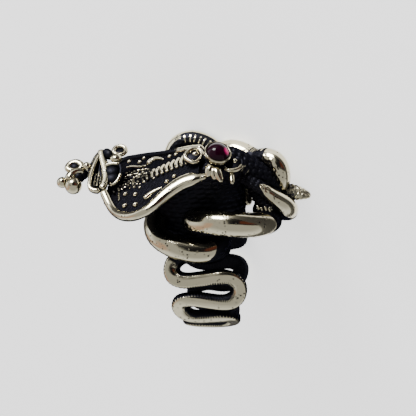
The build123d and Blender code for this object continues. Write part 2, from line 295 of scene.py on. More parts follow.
# Lumps beside the brows: place, radius in millimetres and polish
BROW_LUMPS = (
    ((0.205, -0.335, 0.11), 1.15, 1.0),
    ((-0.04, -0.250, -0.03), 1.75, 0.12),
    ((-0.19, -0.255, -0.05), 1.65, 0.12),
)
CREST_STEM = ((0.17, 0.10, -0.08), (0.14, 0.25, -0.05), (0.06, 0.42, -0.12), (-0.10, 0.50, -0.16))
CREST_CRESCENT = (
    (0.050, 0.320, -0.06),
    (0.080, 0.434, -0.05),
    (0.045, 0.545, -0.05),
    (-0.050, 0.630, -0.07),
    (-0.160, 0.620, -0.10),
)
CREST_PETAL = (
    (0.185, 0.360, -0.05),
    (0.310, 0.480, -0.05),
    (0.290, 0.620, -0.06),
    (0.160, 0.700, -0.06),
    (0.095, 0.600, -0.06),
    (0.090, 0.460, -0.06),
)
# Lumps of the crest, in the same columns
CREST_LUMPS = (
    ((0.136, 0.270, -0.01), 0.85, 1.0),
    ((-0.235, 0.555, -0.13), 1.62, 1.0),
    ((-0.120, 0.790, -0.15), 1.05, 1.0),
    ((0.190, 0.530, -0.12), 1.15, 0.0),
    ((0.000, 0.470, -0.16), 1.25, 0.0),
    ((0.060, 0.380, -0.16), 1.10, 0.0),
)

# Share of the jaws' grid that lines the mouth, and its depth there in millimetres
MOUTH_SHARE = 0.45
MOUTH_DEPTH = 1.9

# How far the band's skin stands off the solid's wire, outward and sideways, in millimetres
BAND_SKIN = (0.04, 0.06)

# Points of a seam or pole that are closer than this are one, in millimetres
SEAM = 0.0005

# Passes that ease how a rope's section turns
TURN_PASSES = 12

# How far off the metal the patina's rays start, in metres
RAY_START = 0.00003

# Noise patterns of the metal: scale per metre, detail and roughness
RAGGED_EDGE = (1900.0, 4.0, 0.62)
COARSE_EDGE = (420.0, 2.0, 0.50)
PIT_PATCHES = (520.0, 2.0, 0.50)
FINE_GRAIN = (1500.0, 4.0, 0.60)
BROAD_SWELL = (260.0, 1.0, 0.40)
PIT_CELLS = 1500.0

# How much the two noises add to the wear, and where its masks go from 0 to 1
RAGGED_SHARE = 0.55
COARSE_SHARE = 0.25
OPEN_RANGE = (0.30, 0.66)
WEAR_RANGE = (0.90, 1.14)
PIT_RANGE = (0.18, 0.34)
PATCH_RANGE = (0.50, 0.57)

# Shares of the metal's relief, and its height in metres
GRAIN_RELIEF = 0.25
SWELL_RELIEF = 2.0
PIT_RELIEF = 0.4
RELIEF_HEIGHT = 0.00006
RELIEF_STRENGTH = 0.8
OXIDE_ROUGHNESS = 0.50
SILVER_ROUGHNESS = 0.13

# Painted glow: light gathered in the stone, painted into its colour. Its middle in the seat's millimetres,
# and its edge in metres
PAINTED_GLOW_PLACE = (1.15, -0.75, 1.05)
PAINTED_GLOW_EDGE = (0.0009, 0.0003)
STONE_ROUGHNESS = 0.05
STONE_SPECULAR = 0.16

# The photo's camera as the ring is worn, in degrees, millimetres and pixels
CAMERA_TURN = 7.0
CAMERA_RISE = 30.0
CAMERA_ROLL = -3.0
CAMERA_DISTANCE = 255.0
CAMERA_FOCUS = 1342.1
CAMERA_SENSOR = 36.0
PICTURE_SIZE = 416
RING_AT = (210, 270)

# Lamps: place towards the camera, upward and to the right, and size, in metres, then watts
LAMPS = (
    ("key_light", (0.20, 0.33, -0.16), 0.16, 3.2),
    ("side_light", (0.10, 0.08, 0.36), 0.20, 1.3),
)

# Floor: half size, drop below the ring and where its mirrored image goes dark, in metres, then
# its colour and glow as seen and as mirrored
FLOOR_REACH = 1.2
FLOOR_DROP = 0.0001
FLOOR_EDGE = (0.026, 0.032)
FLOOR_COLOURS = ((0.93, 0.935, 0.94, 1), (0.03, 0.03, 0.035, 1))
FLOOR_GLOWS = (1.3, 0.02)
FLOOR_ROUGHNESS = 0.6

# Colours of the room that the metal mirrors. The last is what the camera sees of it.
ROOM_FAR = (1.25, 1.28, 1.32, 1)
ROOM_NEAR = (0.60, 0.61, 0.62, 1)
ROOM_LIT = (2.30, 2.40, 2.55, 1)
ROOM_DARK = (0.010, 0.010, 0.014, 1)
ROOM_BROWN = (0.13, 0.040, 0.026, 1)
ROOM_PINK = (0.78, 0.56, 0.47, 1)
ROOM_SEEN = (0.80, 0.81, 0.82, 1)

# Where the room's parts lie, by a direction's share towards the camera, upward or to the right,
# or by its angle over the camera in radians. A strip has a middle, a half width and a soft edge,
# and an edge goes from none to full.
NEAR_EDGE = (-0.20, 0.55)
LIT_ANGLE = (1.62, 0.30, 0.10)
DARK_UPWARD = (0.37, 0.42, 0.06)
DARK_RIGHT = (0.60, 0.80, 0.12)
DARK_EDGE = (-0.60, -0.35)
BROWN_UPWARD = (0.30, 0.20, 0.05)
BROWN_RIGHT = (0.68, 0.38, 0.06)
PINK_RIGHT = (-0.84, 0.04, 0.12)
PINK_EDGE = (0.20, -0.30)


def length_setting(name, description, millimetres):
    """A length in the ring's own unit, which its description names."""
    return FloatProperty(name=name, description=description + ", mm", default=millimetres)


def angle_setting(name, description, degrees):
    """An angle, kept in radians and shown in degrees."""
    return FloatProperty(
        name=name, description=description, default=math.radians(degrees), subtype="ANGLE"
    )


def share_setting(name, description, share):
    """A share of a whole."""
    return FloatProperty(
        name=name, description=description, default=share, min=0.0, max=1.0, subtype="FACTOR"
    )


def colour_setting(name, description, colour):
    """A colour in linear light, without its alpha."""
    return FloatVectorProperty(
        name=name, description=description, default=colour, min=0.0, max=1.0, subtype="COLOR"
    )


class RingBandSettings(bpy.types.PropertyGroup):
    finger_radius: length_setting("Finger radius", "Inside of the band", 9.0)
    wire: length_setting("Wire", "Radial depth of the band", 1.9)
    width: length_setting("Width", "Reach of the wave along the finger", 16.4)
    gap: length_setting("Gap", "Space kept between the loops", 0.2)
    strokes: IntProperty(name="Strokes", description="Strokes of the wave round the finger", default=14)
    first_stroke: angle_setting("First stroke", "Place of the first stroke round the finger", 97.5)
    edge: FloatProperty(name="Edge", description="How square the band's section is", default=3.6)
    round_off: length_setting("Round-off", "Reach that rounding takes", 0.3)
    flare: FloatProperty(name="Flare", description="Share that its inner side widens by", default=1.35)
    rib_pitch: length_setting("Rib pitch", "Spacing of the flank ribs", 0.55)
    rib_depth: length_setting("Rib depth", "Depth of the flank ribs", 0.22)
    combs: IntProperty(name="Combs", description="Notches along the polished face's edges", default=420)


class RingPileSettings(bpy.types.PropertyGroup):
    length: length_setting("Length", "Pile along the finger", 26.0)
    depth: length_setting("Depth", "Pile across the finger", 20.0)
    height: length_setting("Height", "Pile over the band", 14.0)
    low_rope: length_setting("Low coil", "Diameter of the low coil", 4.0)
    front_rope: length_setting("Front coil", "Diameter of the front coil", 4.4)
    cross_rope: length_setting("Cross coil", "Diameter of the cross coil", 3.4)
    loop_rope: length_setting("Raised coil", "Diameter of the raised coil", 3.6)
    lead_in: share_setting("Lead-in", "Share of the cross coil that tapers", 0.55)
    shoulder_rope: length_setting("Shoulder", "Diameter of the shoulder", 4.6)
    neck_length: length_setting("Neck length", "Neck along the finger", 9.6)
    neck_depth: length_setting("Neck depth", "Neck across the finger", 8.4)
    scale_size: length_setting("Scale size", "Length of a body scale", 0.8)
    scale_depth: length_setting("Scale depth", "Height of a body scale", 0.12)


class RingHoodSettings(bpy.types.PropertyGroup):
    length: length_setting("Length", "Collar to head", 20.5)
    width: length_setting("Width", "Unit of the wings' widths", 20.5)
    slope: angle_setting("Slope", "Fall towards the head", 24.5)
    drift: length_setting("Drift", "Turn towards the far side", 2.2)
    tilt: angle_setting("Tilt", "Fall towards the near side", 8.0)
    droop: angle_setting("Droop", "Fall of each wing", 5.0)
    wall: length_setting("Wall", "Thickness of the plate", 1.5)
    recess: length_setting("Recess", "Depth of the panels below the rims", 0.45)
    rim: length_setting("Rim", "Diameter of the rolled rim", 1.8)
    dot_radius: length_setting("Dot radius", "Radius of the dots", 0.46)


class RingHeadSettings(bpy.types.PropertyGroup):
    station: share_setting("Station", "Place of the mouth along the hood", 0.94)
    tilt: angle_setting("Tilt", "Lean of the mouth towards the near side", 27.0)
    yaw: angle_setting("Yaw", "Turn of the mouth out of the finger's cross direction", 5.0)
    rise: length_setting("Rise", "Mouth off the hood", 2.4)
    shift: length_setting("Shift", "Mouth along its own length", 3.25)
    length: length_setting("Mouth length", "Length of the mouth", 9.2)
    gape: length_setting("Gape", "Width of the open mouth", 2.8)
    jaw_depth: length_setting("Jaw depth", "Depth of the jaws", 3.2)


class RingCollarSettings(bpy.types.PropertyGroup):
    stone_radius: length_setting("Stone radius", "Radius of the stone", 2.0)
    stone_height: length_setting("Stone height", "Dome over the bezel", 1.3)
    girdle: length_setting("Girdle", "Stone's straight wall", 1.0)
    clearance: length_setting("Clearance", "Space round the stone", 0.06)
    bezel_wall: length_setting("Bezel wall", "Thickness of the bezel", 0.36)


class RingPatinaSettings(bpy.types.PropertyGroup):
    rays: IntProperty(name="Rays", description="Rays that test how open a place is", default=14)
    reach: length_setting("Reach", "How far they look", 2.6)
    blocked: share_setting("Blocked", "Most that a ray counts for when it hits metal", 0.75)
    front_least: share_setting("Front coil", "Least openness that the front coil has", 0.6)


class RingFinishSettings(bpy.types.PropertyGroup):
    silver: colour_setting("Silver", "Polished high places", (0.60, 0.545, 0.38))
    oxide: colour_setting("Oxide", "Dark recesses", (0.014, 0.014, 0.018))
    oxide_edge: colour_setting("Oxide edge", "Tint of the recesses at a slant", (0.10, 0.10, 0.13))
    garnet: colour_setting("Garnet", "Depth of the stone", (0.009, 0.0002, 0.004))
    # Glow is painted light: a bright spot in the stone's colour that stands for light gathered inside it
    glow: colour_setting("Glow", "Light gathered in the stone", (0.40, 0.003, 0.10))


def settings():
    """The scene's settings: sizes in millimetres, angles in radians, shares and colours."""
    return bpy.context.scene.cobra_ring


def axes():
    """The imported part's X, Y and Z, in the frame of the ring as it is worn."""
    up = Vector(REST_UP).normalized()
    along = (Vector((1, 0, 0)) - up * up.x).normalized()
    return along, up.cross(along), up


def to_row():
    """From the worn ring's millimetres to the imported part's metres."""
    place = Vector(frame["record"]["mounts"][0]["pos_m"])
    turn = Matrix(axes()) * MILLIMETRE
    return Matrix.Translation(place) @ turn.to_4x4()


def between(table, place, column):
    """A column's value at a place in the table's first column."""
    for first, second in zip(table, table[1:]):
        if place <= second[0]:
            share = max((place - first[0]) / (second[0] - first[0]), 0)
            return first[column] + share * (second[column] - first[column])
    return table[-1][column]


def eased(low, high, value):
    """0 below low, 1 above high, with a soft start and end."""
    share = min(max((value - low) / (high - low), 0), 1)
    return share * share * (3 - 2 * share)


def rounded(points, closed=False):
    """Straight runs joined by tangent arcs."""
    count = len(points)
    corners = range(count) if closed else range(1, count - 1)
    route = [] if closed else [points[0]]
    for index in corners:
        corner = points[index]
        first = corner - points[index - 1]
        second = points[(index + 1) % count] - corner
        run = ARC_SHARE * min(first.length, second.length)
        start = first.normalized()
        turn = start.angle(second)
        if turn < 0.01:
            route.append(corner)
            continue
        side = (second.normalized() - start * start.dot(second.normalized())).normalized()
        radius = run / math.tan(turn / 2)
        steps = max(int(turn * 10), 4)
        for step in range(steps + 1):
            angle = turn * step / steps
            swing = start * math.sin(angle) + side * (1 - math.cos(angle))
            route.append(corner - start * run + swing * radius)
    return route if closed else route + [points[-1]]


def resampled(route, spacing, closed=False):
    """Evenly spaced points along a route. A closed one comes back to its first point."""
    ring = route + [route[0]] if closed else route
    lengths = [0.0]
    for first, second in zip(ring, ring[1:]):
        lengths.append(lengths[-1] + (second - first).length)
    count = max(int(lengths[-1] / spacing), 4)
    points = []
    cursor = 0
    for index in range(count + 1):
        place = lengths[-1] * index / count
        while cursor < len(ring) - 2 and lengths[cursor + 1] < place:
            cursor += 1
        span = lengths[cursor + 1] - lengths[cursor]
        share = (place - lengths[cursor]) / span if span > 0 else 0
        points.append(ring[cursor].lerp(ring[cursor + 1], min(max(share, 0), 1)))
    return points, lengths[-1]


def softened(values, passes, closed=False):
    """Values averaged with their neighbours, to ease where arcs meet."""
    count = len(values)
    for _ in range(passes):
        new = list(values)
        for index in range(count):
            if closed:
                before = values[index - 1 if index else count - 2]
                after = values[index + 1 if index < count - 1 else 1]
            elif index in (0, count - 1):
                continue
            else:
                before = values[index - 1]
                after = values[index + 1]
            new[index] = (before + values[index] * 2 + after) / 4
        values = new
    return values


def new_piece():
    """An empty mesh with the layers that every piece carries."""
    bm = bmesh.new()
    bm.loops.layers.uv.new("UVMap")
    for name in ("polish", "open", "around", "along"):
        bm.verts.layers.float.new(name)
    return bm


def lay(bm, place, around, along, relief=None, polish=1.0):
    """Lays a grid over place(u, v), closes its seams, and raises it along its normals."""
    layers = bm.verts.layers.float
    made = bmesh.ops.create_grid(bm, x_segments=around, y_segments=along, size=0.5, calc_uvs=True)["verts"]
    for vert in made:
        vert[layers["around"]] = min(max(vert.co.x + 0.5, 0.0), 1.0)
        vert[layers["along"]] = min(max(vert.co.y + 0.5, 0.0), 1.0)
        vert.co = place(vert[layers["around"]], vert[layers["along"]])
    bmesh.ops.remove_doubles(bm, verts=made, dist=SEAM)
    made = [vert for vert in made if vert.is_valid]
    faces = list({face for vert in made for face in vert.link_faces})
    bmesh.ops.recalc_face_normals(bm, faces=faces)
    for vert in made:
        vert.normal_update()
    lifts = []
    for vert in made:
        u, v = vert[layers["around"]], vert[layers["along"]]
        height = relief(u, v) if relief else 0.0
        vert[layers["polish"]] = polish(u, v) if callable(polish) else polish
        lifts.append(vert.normal * height)
    for vert, lift in zip(made, lifts):
        vert.co += lift
    return made


def lay_rope(bm, points, half_height, half_width=None, outward=None, closed=False, power=2.0,
             around=32, spacing=0.25, relief=None, polish=1.0, passes=6, flare=0.0):
    """A rope along points. Its section faces the way that outward gives for a point, its sizes may
    change along it, and flare widens its inner side by a share."""
    route, length = resampled(rounded(points, closed), spacing, closed)
    route = softened(route, passes, closed)
    count = len(route) - 1
    tangents = []
    for index in range(count + 1):
        before = route[index - 1] if index else (route[-2] if closed else route[0])
        after = route[index + 1] if index < count else (route[1] if closed else route[-1])
        tangents.append((after - before).normalized())
    outs = []
    for point, tangent in zip(route, tangents):
        away = outward(point) if outward else Vector((0, -0.4, 0.9))
        outs.append((away - tangent * away.dot(tangent)).normalized())
    outs = softened(outs, TURN_PASSES, closed)
    bends = []
    for index in range(count + 1):
        before = tangents[index - 1] if index else tangents[-2 if closed else 0]
        after = tangents[index + 1] if index < count else tangents[1 if closed else -1]
        bends.append((after - before) / spacing)
    bends = softened(bends, TURN_PASSES, closed)

    def size(value, v):
        return value(v) if callable(value) else value

    def place(u, v):
        index = min(int(round(v * count)), count)
        tangent = tangents[index]
        out = (outs[index] - tangent * outs[index].dot(tangent)).normalized()
        side = tangent.cross(out)
        angle = (u - 0.5) * math.tau
        high = size(half_height, v)
        wide = size(half_width, v) if half_width else high
        if not closed:
            end = min(v, 1 - v) * length
            if end < high:
                share = math.sqrt(max(1 - (1 - end / high) ** 2, 0))
                high *= share
                wide *= share
        c, s = math.cos(angle), math.sin(angle)
        towards_bend = 0.5 + 0.8 * bends[index].dot(side) * math.copysign(1, s)
        wide *= 1 + flare * min(max(towards_bend, 0), 1) * (1 - c) / 2
        c = math.copysign(abs(c) ** (2 / power), c)
        s = math.copysign(abs(s) ** (2 / power), s)
        return route[index] + out * (c * high) + side * (s * wide)

    def raised(u, v):
        return relief(u, v * length)

    return lay(bm, place, around, count, raised if relief else None, polish)


def lay_ball(bm, centre, radius, stretch=(1, 1, 1), turn=None, polish=1.0, detail=16):
    """A ball, or an ellipsoid turned by a matrix."""
    shape = Matrix.Translation(centre) @ (turn.to_4x4() if turn else Matrix())
    shape = shape @ Matrix.Diagonal((*stretch, 1))
    made = bmesh.ops.create_uvsphere(
        bm, u_segments=detail * 2, v_segments=detail, radius=radius, matrix=shape, calc_uvs=True
    )["verts"]
    layer = bm.verts.layers.float["polish"]
    for vert in made:
        vert[layer] = polish
    return made


def scales(u, distance, count, size, depth):
    """Domed scales in staggered rows: count of them around, size along."""
    row = distance / size
    shift = 0.5 * (int(math.floor(row)) % 2)
    across = (u * count + shift) % 1 - 0.5
    forward = row % 1 - 0.5
    reach = 4 * (across * across + forward * forward * 0.8)
    return depth * max(1 - reach, 0) ** 0.6


def ribs(distance, pitch, depth):
    """Sharp-edged ribs across a length."""
    return depth * (abs(math.sin(math.pi * distance / pitch)) ** 0.7 - 0.5)


def facing(u):
    """1 at the middle of a rope's outer face, -1 at its inner side."""
    return math.cos((u - 0.5) * math.tau)


def towards(x, y, z):
    """Gives lay_rope one way to face all along."""
    way = Vector((x, y, z))
    return lambda point: way


def within(stretch, v):
    """1 inside a stretch of a route and 0 outside it, with soft ends."""
    begins, ends = stretch
    return eased(*begins, v) * eased(*ends, v)


def shine(edge, start, finish, full=1.0):
    """A coil's polish, on the part of its section that faces out. It narrows to a point at both
    ends, over the given shares of the coil's length."""
    def polish(u, v):
        narrow = 1.4 * (1 - eased(*start, v)) + 1.4 * (1 - eased(*finish, 1 - v))
        return full * eased(*edge, facing(u) - narrow)

    return polish


def finish_piece(bm, name, slot):
    """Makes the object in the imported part's frame, as a piece that stands for its CAD node."""
    bmesh.ops.transform(bm, matrix=to_row(), verts=bm.verts)
    bmesh.ops.recalc_face_normals(bm, faces=bm.faces)
    for face in bm.faces:
        face.smooth = True
    mesh = bpy.data.meshes.new(name)
    bm.to_mesh(mesh)
    bm.free()
    piece = bpy.data.objects.new(name, mesh)
    bpy.context.scene.collection.objects.link(piece)
    mesh.materials.append(silver_material() if slot == "silver" else garnet_material())
    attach(piece, "root")
    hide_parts("silver_casting" if slot == "silver" else "garnet")
    return piece


def band_point(along, angle, radius):
    """A point on a cylinder round the finger, with the angle from its near side."""
    return Vector((along, -radius * math.cos(angle), radius * math.sin(angle)))


def from_finger(point):
    """Straight out of the finger."""
    return Vector((0, point.y, point.z)).normalized()


def seat_radius():
    """Radius of the band's outside, where the pile stands."""
    band = settings().band
    return band.finger_radius + band.wire


def pile_point(x, y, z):
    """A point given as shares of the pile's length, its depth and its height over the band."""
    pile = settings().pile
    return Vector((x * pile.length, y * pile.depth, seat_radius() + z * pile.height))


def on_pile(table):
    """The points of a table in the pile's shares."""
    return [pile_point(*row) for row in table]


def from_pile(point):
    """Away from the middle of the coils."""
    return (point - Vector(PILE_MIDDLE)).normalized()


def spine_point(along):
    """A point on the hood's middle line."""
    hood = settings().hood
    step = along * hood.length
    drop = step * math.tan(hood.slope)
    return pile_point(*HOOD_ROOT) + Vector((-step, hood.drift * along, -drop))


def wing_direction(side):
    """From the middle line to the edge of a wing: side is -1 for the near one, 1 for the far."""
    hood = settings().hood
    angle = hood.tilt - side * hood.droop
    return Vector((0, side * math.cos(angle), side * math.sin(angle)))


def wing_point(along, across):
    """A point on the hood's face: across is a share of the wing, positive on the far side."""
    side = 1 if across > 0 else -1
    width = settings().hood.width * between(HOOD_STATIONS, along, 1 if side < 0 else 2)
    return spine_point(along) + wing_direction(side) * (width * abs(across))


def panel_point(along, across, lift=0.0):
    """A point on the recessed panel between the rims."""
    hood = settings().hood
    return wing_point(along, across) + Vector((0, 0, lift - hood.recess))


def mouth_axes():
    """The mouth's own frame: along it, across it towards the crest, and out of it."""
    head = settings().head
    out = Vector((0, -math.sin(head.tilt), math.cos(head.tilt)))
    level, rise = math.cos(head.tilt), math.sin(head.tilt)
    along = Vector((-math.sin(head.yaw), math.cos(head.yaw) * level, math.cos(head.yaw) * rise))
    across = out.cross(along)
    origin = spine_point(head.station) + out * head.rise + along * head.shift
    return origin, along, across, out


def mouth_point(along, across, out):
    """A point in the mouth's frame, given as shares of the mouth's length."""
    origin, x, y, z = mouth_axes()
    return origin + (x * along + y * across + z * out) * settings().head.length


def in_mouth(table):
    """The points of a table in the mouth's shares."""
    return [mouth_point(*row) for row in table]


def facing_frame(place, axis):
    """A frame at a place whose Z is the axis."""
    turn = Vector(axis).normalized().to_track_quat("Z", "Y").to_matrix()
    return Matrix.Translation(place) @ turn.to_4x4()


def ring_points(shape, radius, count=24, squash=1.0):
    """Points of a circle in a frame's XY plane."""
    points = []
    for index in range(count):
        angle = math.tau * index / count
        points.append(shape @ Vector((radius * math.cos(angle), squash * radius * math.sin(angle), 0)))
    return points


def new_group(name, inputs, outputs):
    """A node group with the given sockets: (name, kind, default)."""
    group = bpy.data.node_groups.new(name, "ShaderNodeTree")
    for label, kind, value in inputs:
        socket = group.interface.new_socket(label, in_out="INPUT", socket_type=kind)
        if value is not None:
            socket.default_value = value
    for label, kind in outputs:
        group.interface.new_socket(label, in_out="OUTPUT", socket_type=kind)
    nodes = group.nodes
    return group, nodes.new("NodeGroupInput"), nodes.new("NodeGroupOutput")


def feed(tree, node, inputs):
    """Sets a node's inputs, by name or number, or links those that are given a socket."""
    for key, value in inputs.items():
        if isinstance(value, bpy.types.NodeSocket):
            tree.links.new(value, node.inputs[key])
        else:
            node.inputs[key].default_value = value


def linked(tree, kind, inputs, **options):
    """A new node with its options and inputs."""
    node = tree.nodes.new(kind)
    for option, value in options.items():
        setattr(node, option, value)
    feed(tree, node, inputs)
    return node


def maths(tree, operation, *values):
    """A sum, product or the like, of numbers or sockets."""
    return linked(tree, "ShaderNodeMath", dict(enumerate(values)), operation=operation).outputs[0]


def rising(tree, value, low, high, kind="SMOOTHSTEP"):
    """0 at low and 1 at high."""
    inputs = {0: value, 1: low, 2: high}
    return linked(tree, "ShaderNodeMapRange", inputs, interpolation_type=kind).outputs[0]


def mixed(tree, share, first, second):
    """A value between two, by a share."""
    return linked(tree, "ShaderNodeMapRange", {0: share, 3: first, 4: second}).outputs[0]


def blended(tree, share, first, second):
    """A colour between two, by a share."""
    return linked(tree, "ShaderNodeMix", {0: share, 6: first, 7: second}, data_type="RGBA").outputs[2]


def strip(tree, value, middle, half, soft):
    """1 where a value is within half of the middle, with soft edges."""
    apart = maths(tree, "ABSOLUTE", maths(tree, "SUBTRACT", value, middle))
    return rising(tree, apart, half + soft, half)


def patterned(tree, place, pattern):
    """Noise, by a pattern's scale, detail and roughness."""
    scale, detail, rough = pattern
    return linked(tree, "ShaderNodeTexNoise", {0: place, 2: scale, 3: detail, 4: rough}).outputs[0]


def attribute(tree, name):
    """A value that the mesh carries."""
    return linked(tree, "ShaderNodeAttribute", {}, attribute_name=name).outputs["Fac"]


def wear_group():
    """Where the metal is polished: outer places that are open, with a ragged edge. The polish it reads also
    holds painted shade under the pile and a painted highlight on the raised coil.
    """
    known = bpy.data.node_groups.get("silver_wear")
    if known:
        return known
    inputs = (
        ("Vector", "NodeSocketVector", None),
        ("Polish", "NodeSocketFloat", 1.0),
        ("Open", "NodeSocketFloat", 1.0),
    )
    group, source, target = new_group("silver_wear", inputs, (("Mask", "NodeSocketFloat"),))
    place, polish, opened = source.outputs[:3]
    outer = maths(group, "MULTIPLY", polish, rising(group, opened, *OPEN_RANGE))
    ragged = maths(group, "MULTIPLY_ADD", patterned(group, place, RAGGED_EDGE), RAGGED_SHARE, outer)
    coarse = maths(group, "MULTIPLY_ADD", patterned(group, place, COARSE_EDGE), COARSE_SHARE, ragged)
    group.links.new(rising(group, coarse, *WEAR_RANGE), target.inputs[0])
    return group


def pits_group():
    """Casting pits: 0 in small dark specks, which come in patches, and 1 elsewhere."""
    known = bpy.data.node_groups.get("casting_pits")
    if known:
        return known
    inputs = (("Vector", "NodeSocketVector", None),)
    group, source, target = new_group("casting_pits", inputs, (("Pits", "NodeSocketFloat"),))
    place = source.outputs[0]
    cells = linked(group, "ShaderNodeTexVoronoi", {0: place, 2: PIT_CELLS}).outputs[0]
    specks = rising(group, cells, *PIT_RANGE, kind="LINEAR")
    patches = rising(group, patterned(group, place, PIT_PATCHES), *PATCH_RANGE)
    pits = maths(group, "MAXIMUM", specks, maths(group, "SUBTRACT", 1.0, patches))
    group.links.new(pits, target.inputs[0])
    return group


def new_material(name):
    """A material, its tree, its shader and the Object coordinates."""
    material = bpy.data.materials.new(name)
    material.use_nodes = True
    tree = material.node_tree
    place = tree.nodes.new("ShaderNodeTexCoord").outputs["Object"]
    return material, tree, tree.nodes["Principled BSDF"], place


def silver_material():
    """Oxidised silver: warm and polished on the high places, blue-black in the recesses."""
    known = bpy.data.materials.get("oxidised_silver")
    if known:
        return known
    finish = settings().finish
    material, tree, shader, place = new_material("oxidised_silver")
    layers = {0: place, 1: attribute(tree, "polish"), 2: attribute(tree, "open")}
    wear = linked(tree, "ShaderNodeGroup", layers, node_tree=wear_group()).outputs[0]
    pits = linked(tree, "ShaderNodeGroup", {0: place}, node_tree=pits_group()).outputs[0]
    mask = maths(tree, "MULTIPLY", wear, pits)
    swell = maths(tree, "MULTIPLY", patterned(tree, place, BROAD_SWELL), SWELL_RELIEF)
    grain = maths(tree, "MULTIPLY_ADD", patterned(tree, place, FINE_GRAIN), GRAIN_RELIEF, swell)
    relief = maths(tree, "MULTIPLY_ADD", pits, PIT_RELIEF, grain)
    height = {"Distance": RELIEF_HEIGHT, "Strength": RELIEF_STRENGTH, "Height": relief}
    feed(tree, shader, {
        "Base Color": blended(tree, mask, (*finish.oxide, 1), (*finish.silver, 1)),
        "Specular Tint": blended(tree, mask, (*finish.oxide_edge, 1), (1, 1, 1, 1)),
        "Roughness": mixed(tree, mask, OXIDE_ROUGHNESS, SILVER_ROUGHNESS),
        "Metallic": 1.0,
        "Normal": linked(tree, "ShaderNodeBump", height).outputs[0],
    })
    return material


def stone_seat():
    """The stone's own frame, whose Z comes out of the bezel."""
    return facing_frame(pile_point(*BEZEL_PLACE), STONE_AXIS)


def garnet_material():
    """Deep purple-red glassy stone, with a painted glow: a bright spot in its colour that stands for light
    gathered inside it.
    """
    known = bpy.data.materials.get("garnet_stone")
    if known:
        return known
    finish = settings().finish
    material, tree, shader, place = new_material("garnet_stone")
    # The painted glow: a bright spot in the stone's colour, round a point inside it
    middle = tuple(to_row() @ stone_seat() @ Vector(PAINTED_GLOW_PLACE))
    apart = linked(tree, "ShaderNodeVectorMath", {0: place, 1: middle}, operation="DISTANCE")
    glow = rising(tree, apart.outputs["Value"], *PAINTED_GLOW_EDGE)
    feed(tree, shader, {
        "Base Color": blended(tree, glow, (*finish.garnet, 1), (*finish.glow, 1)),
        "Roughness": STONE_ROUGHNESS,
        "Specular IOR Level": STONE_SPECULAR,
    })
    return material


class RING_OT_band(bpy.types.Operator):
    """Builds the winding band"""

    bl_idname = "cobra_ring.band"
    bl_label = "Band"

    def execute(self, context):
        band = settings().band
        radius = band.finger_radius + band.wire / 2
        pitch = math.tau / band.strokes
        lean = (radius * pitch - band.wire - band.gap) / 2 / radius
        reach = (band.width - band.wire) / 2 + band.round_off

        def turn(side, angle):
            """Where the wave turns back: side is -1 at the left, 1 at the right."""
            share = between(BAND_REACHES, math.sin(angle), 1 if side < 0 else 2)
            return band_point(side * share * reach, angle, radius)

        points = []
        for stroke in range(band.strokes):
            angle = band.first_stroke - stroke * pitch
            side = 1 if stroke % 2 == 0 else -1
            points += [turn(side, angle - lean), turn(-side, angle + lean)]

        def relief(u, distance):
            """Slanting ribs, from the flanks inward."""
            flank = eased(0.62, 0.15, facing(u))
            return ribs(distance + 0.9 * facing(u), band.rib_pitch, band.rib_depth) * flank

        def polish(u, v):
            """A bright outer face with notched edges, dark where the pile covers it: oxide that polishing
            doesn't reach, and painted shade under the pile.
            """
            comb = 0.5 * abs(math.sin(math.pi * v * band.combs)) ** 3
            angle = band.first_stroke + pitch * 0.3 - v * math.tau
            # Dark under the pile: oxide there, and painted shade
            pile_oxide_and_shade = eased(0.60, 0.70, math.sin(angle))
            return eased(0.56, 0.78, facing(u) + comb - 0.1) * (1 - pile_oxide_and_shade)

        high, wide = (band.wire / 2 + skin for skin in BAND_SKIN)
        bm = new_piece()
        lay_rope(bm, points, high, wide, from_finger, closed=True, power=band.edge, around=44,
                 spacing=0.16, relief=relief, polish=polish, passes=110, flare=band.flare)
        finish_piece(bm, "band_wave", "silver")
        return {"FINISHED"}


